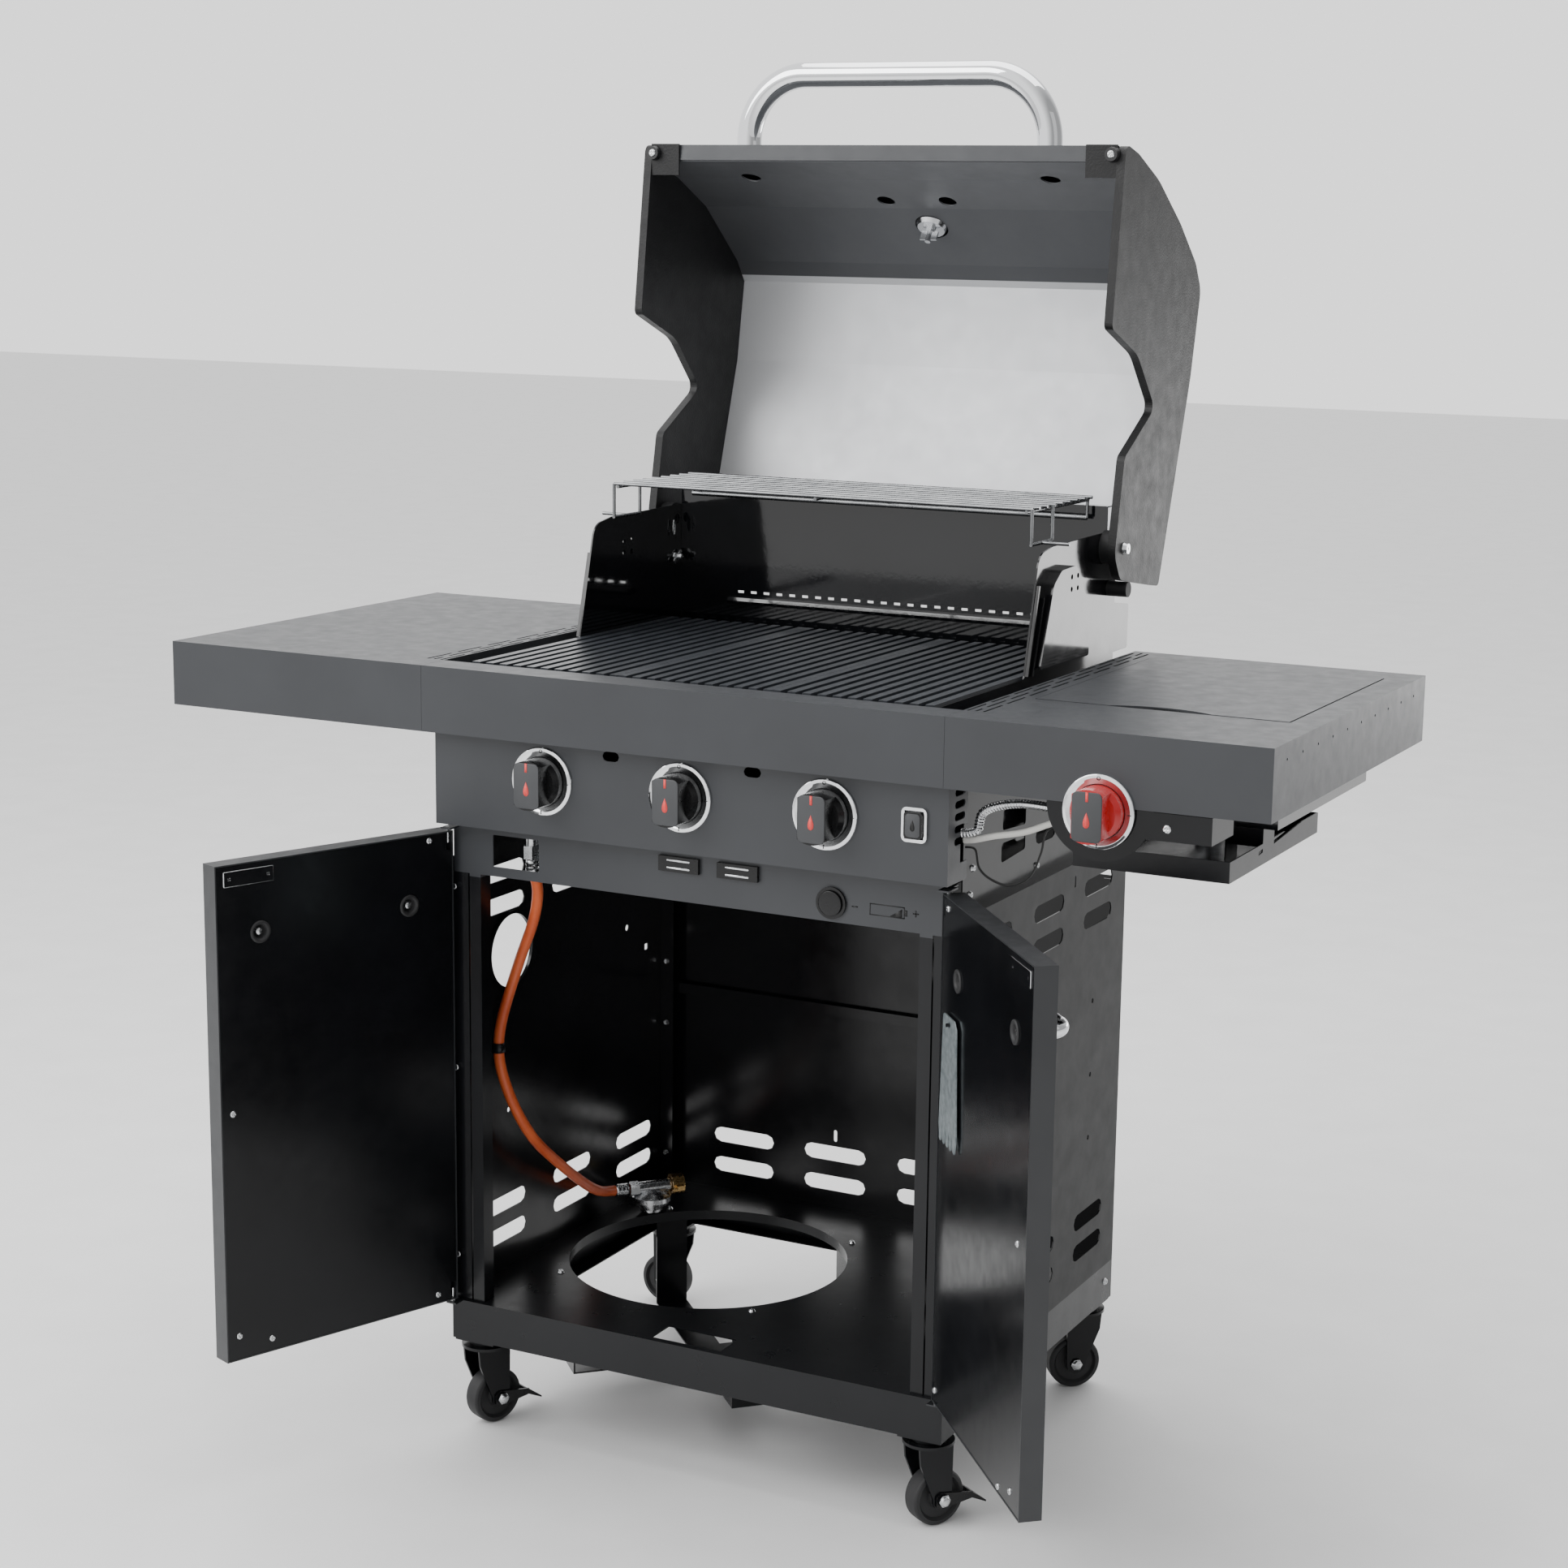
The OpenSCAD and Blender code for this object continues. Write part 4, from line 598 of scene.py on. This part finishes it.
wire("cotter_pin", loop, 0.0008, ZINC, "cart")
places = [(place(sx * 308, 42.9, z), (0, -1, 0)) for sx in (-1, 1) for z in (214, 441, 655)]
screws("post_screws", "cart", places, 0.0034, 0.0006)
screws("valve_box_screw", "cart", [(place(561.4, 1.6, 822.8), (0, -1, 0))], 0.0046)


# ---------- wheels ----------

for corner in ("front_left", "front_right", "rear_left", "rear_right"):
    roll = JOINT["wheel_" + corner + "_roll"]
    axis, at = Vector(roll["axis"]), Vector(roll["pos_m"])
    reach = (22.1 if corner.startswith("front") else 19.5) * MM
    bm = bmesh.new()
    for way in (1, -1):
        end = facing(at + axis * reach * way, axis * way)
        lathe(bm, [(0.0074, -0.0002), (0.0074, 0.0006), (0.0058, 0.0008)], 6, end)
        lathe(bm, [(0.0058, 0.0008), (0.0050, 0.0026), (0.0034, 0.0036), (0.0, 0.0040)], 24, end)
    add_piece("axle_nuts_" + corner, as_mesh("axle_nuts_" + corner, bm), ZINC, "fork_" + corner)


# ---------- pipes to the side burner ----------

def tube(name, points, radius_at, material, sides, node=None):
    """A round skin along points, whose radius may change with the distance from the start."""
    bm = bmesh.new()
    rings, gone, side = [], 0.0, None
    for k, point in enumerate(points):
        way = (points[min(k + 1, len(points) - 1)] - points[max(k - 1, 0)]).normalized()
        side = (side - way * side.dot(way)).normalized() if side else way.orthogonal().normalized()
        other = way.cross(side)
        gone += (point - points[k - 1]).length if k else 0.0
        radius = radius_at(gone)
        rings.append([bm.verts.new(point + side * x + other * y) for x, y in around(radius, sides)])
    for one, two in zip(rings, rings[1:]):
        join_rings(bm, one, two)
    bm.faces.new(rings[0][::-1])
    bm.faces.new(rings[-1])
    piece = add_piece(name, as_mesh(name, bm), material, "cart")
    if node:
        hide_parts(node)
    return piece


PIPE = [(316, 60, 782), (324, 60, 783), (333, 60, 787), (335, 60, 796), (338, 60, 805), (348, 60, 812),
        (364, 60, 817), (384, 59, 820), (410, 57, 820), (436, 52, 819), (462, 44, 820), (476, 34, 820)]
SLEEVE = [(317, 62, 774), (330, 62, 776), (351, 62, 782), (385, 62, 790), (416, 61, 803),
          (440, 56, 812), (474, 46, 814)]
LEAD = [(317, 66, 766), (328, 67, 764), (333, 68, 744), (348, 69, 733), (368, 70, 730), (389, 70, 742),
        (401, 69, 768), (409, 66, 794), (440, 60, 804), (474, 50, 808)]
RIB_STEP = 0.0034                           # between two ribs of the corrugated pipe


def ribbed(gone):
    """The corrugated pipe's radius at a distance from its start."""
    return 0.0046 + 0.0005 * math.cos(2 * math.pi * gone / RIB_STEP)


tube("gas_pipe", smooth([place(*p) for p in PIPE], 24), ribbed, BRIGHT, 18, "side_burner_lines")
tube("igniter_sleeve", smooth([place(*p) for p in SLEEVE], 8), lambda gone: 0.0035, WHITE_SLEEVE, 14,
     "side_burner_lines")
tube("igniter_lead", smooth([place(*p) for p in LEAD], 8), lambda gone: 0.0012, INK, 10,
     "side_burner_lines")


# ---------- gas hose ----------

HOSE_ROUTE = [(-226, 80, 689.2), (-226, 81, 676), (-232, 100, 648), (-250, 120, 608), (-277, 134, 557),
              (-296, 135, 505), (-303, 130, 472), (-304, 126, 444), (-300, 126, 415), (-292, 140, 370),
              (-282, 166, 324), (-276, 211, 282), (-277, 264, 243), (-287, 312, 216), (-297, 352, 199),
              (-295.5, 376.5, 193), (-285, 390.8, 192)]
hose_line = smooth([place(*p) for p in HOSE_ROUTE])
hose = wire("hose", hose_line, 0.0065, ORANGE, "cart")
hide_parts("gas_hose")


def sleeve(name, start, end, profile, material):
    """A turned piece round the hose between two points, with its profile as (radius, share of the way)."""
    bm = bmesh.new()
    length = (end - start).length
    lathe(bm, [(radius, share * length) for radius, share in profile], 28, facing(start, end - start))
    return add_piece(name, as_mesh(name, bm), material, "cart")


CRIMP = [(0.0066, 0.0), (0.0078, 0.02), (0.0078, 0.3), (0.0072, 0.36), (0.0078, 0.42),
         (0.0078, 0.62), (0.0072, 0.68), (0.0078, 0.74), (0.0078, 0.98), (0.0066, 1.0)]
CLIP_HEIGHT = 0.444
crimps = [sleeve("crimp_top", hose_line[0], hose_line[0] - Vector((0, 0, 0.021)), CRIMP, ZINC),
          sleeve("crimp_low", hose_line[-1], hose_line[-4], CRIMP, ZINC)]
clip_at = min(hose_line, key=lambda point: abs(point.z - CLIP_HEIGHT))
half_clip = Vector((0, 0, 0.006))
sleeve("hose_clip", clip_at + half_clip, clip_at - half_clip,
       [(0.0066, 0.0), (0.0079, 0.05), (0.0079, 0.95), (0.0066, 1.0)], PLASTIC)


# ---------- studio ----------

def studio():
    """A pale floor, a sky that dims to the right, and four soft lamps, one of them for reflections only."""
    bpy.ops.mesh.primitive_plane_add(size=40)
    floor = bpy.context.object
    floor.name = "floor"
    pale = finish_of("floor", (0.82, 0.82, 0.82), (0.86, 0.86, 0.86), 0.6, grain=200, bump=0.02)
    floor.data.materials.append(pale)
    world = bpy.data.worlds.new("sky")
    bpy.context.scene.world = world
    world.use_nodes = True
    tree = world.node_tree
    tree.nodes["Background"].inputs["Color"].default_value = (1, 1, 1, 1)
    across = tree.nodes.new("ShaderNodeSeparateXYZ")
    tree.links.new(tree.nodes.new("ShaderNodeTexCoord").outputs["Generated"], across.inputs[0])
    fade = tree.nodes.new("ShaderNodeMapRange")
    for socket, value in (("From Min", -0.1), ("From Max", 0.7), ("To Min", 1.6), ("To Max", 0.45)):
        fade.inputs[socket].default_value = value
    tree.links.new(across.outputs["X"], fade.inputs["Value"])
    tree.links.new(fade.outputs["Result"], tree.nodes["Background"].inputs["Strength"])
    lamps = [("key", (-2.2, -2.6, 3.2), (2.6, 2.6), 110), ("side", (3.4, -0.6, 2.4), (2.0, 2.0), 4),
             ("top", (0, 0.6, 4.0), (3.0, 3.0), 80), ("rear_right", (1.4, 2.9, 0.78), (1.3, 0.6), 11)]
    for name, at, size, power in lamps:
        lamp = bpy.data.lights.new(name, "AREA")
        lamp.shape = "RECTANGLE"
        lamp.size, lamp.size_y = size
        lamp.energy = power
        holder = bpy.data.objects.new(name, lamp)
        bpy.context.scene.collection.objects.link(holder)
        holder.location = at
        holder.rotation_euler = (Vector((0, 0, 0.8)) - Vector(at)).to_track_quat("-Z", "Y").to_euler()
        holder.visible_camera = False
        holder.visible_diffuse = name != "rear_right"


studio()
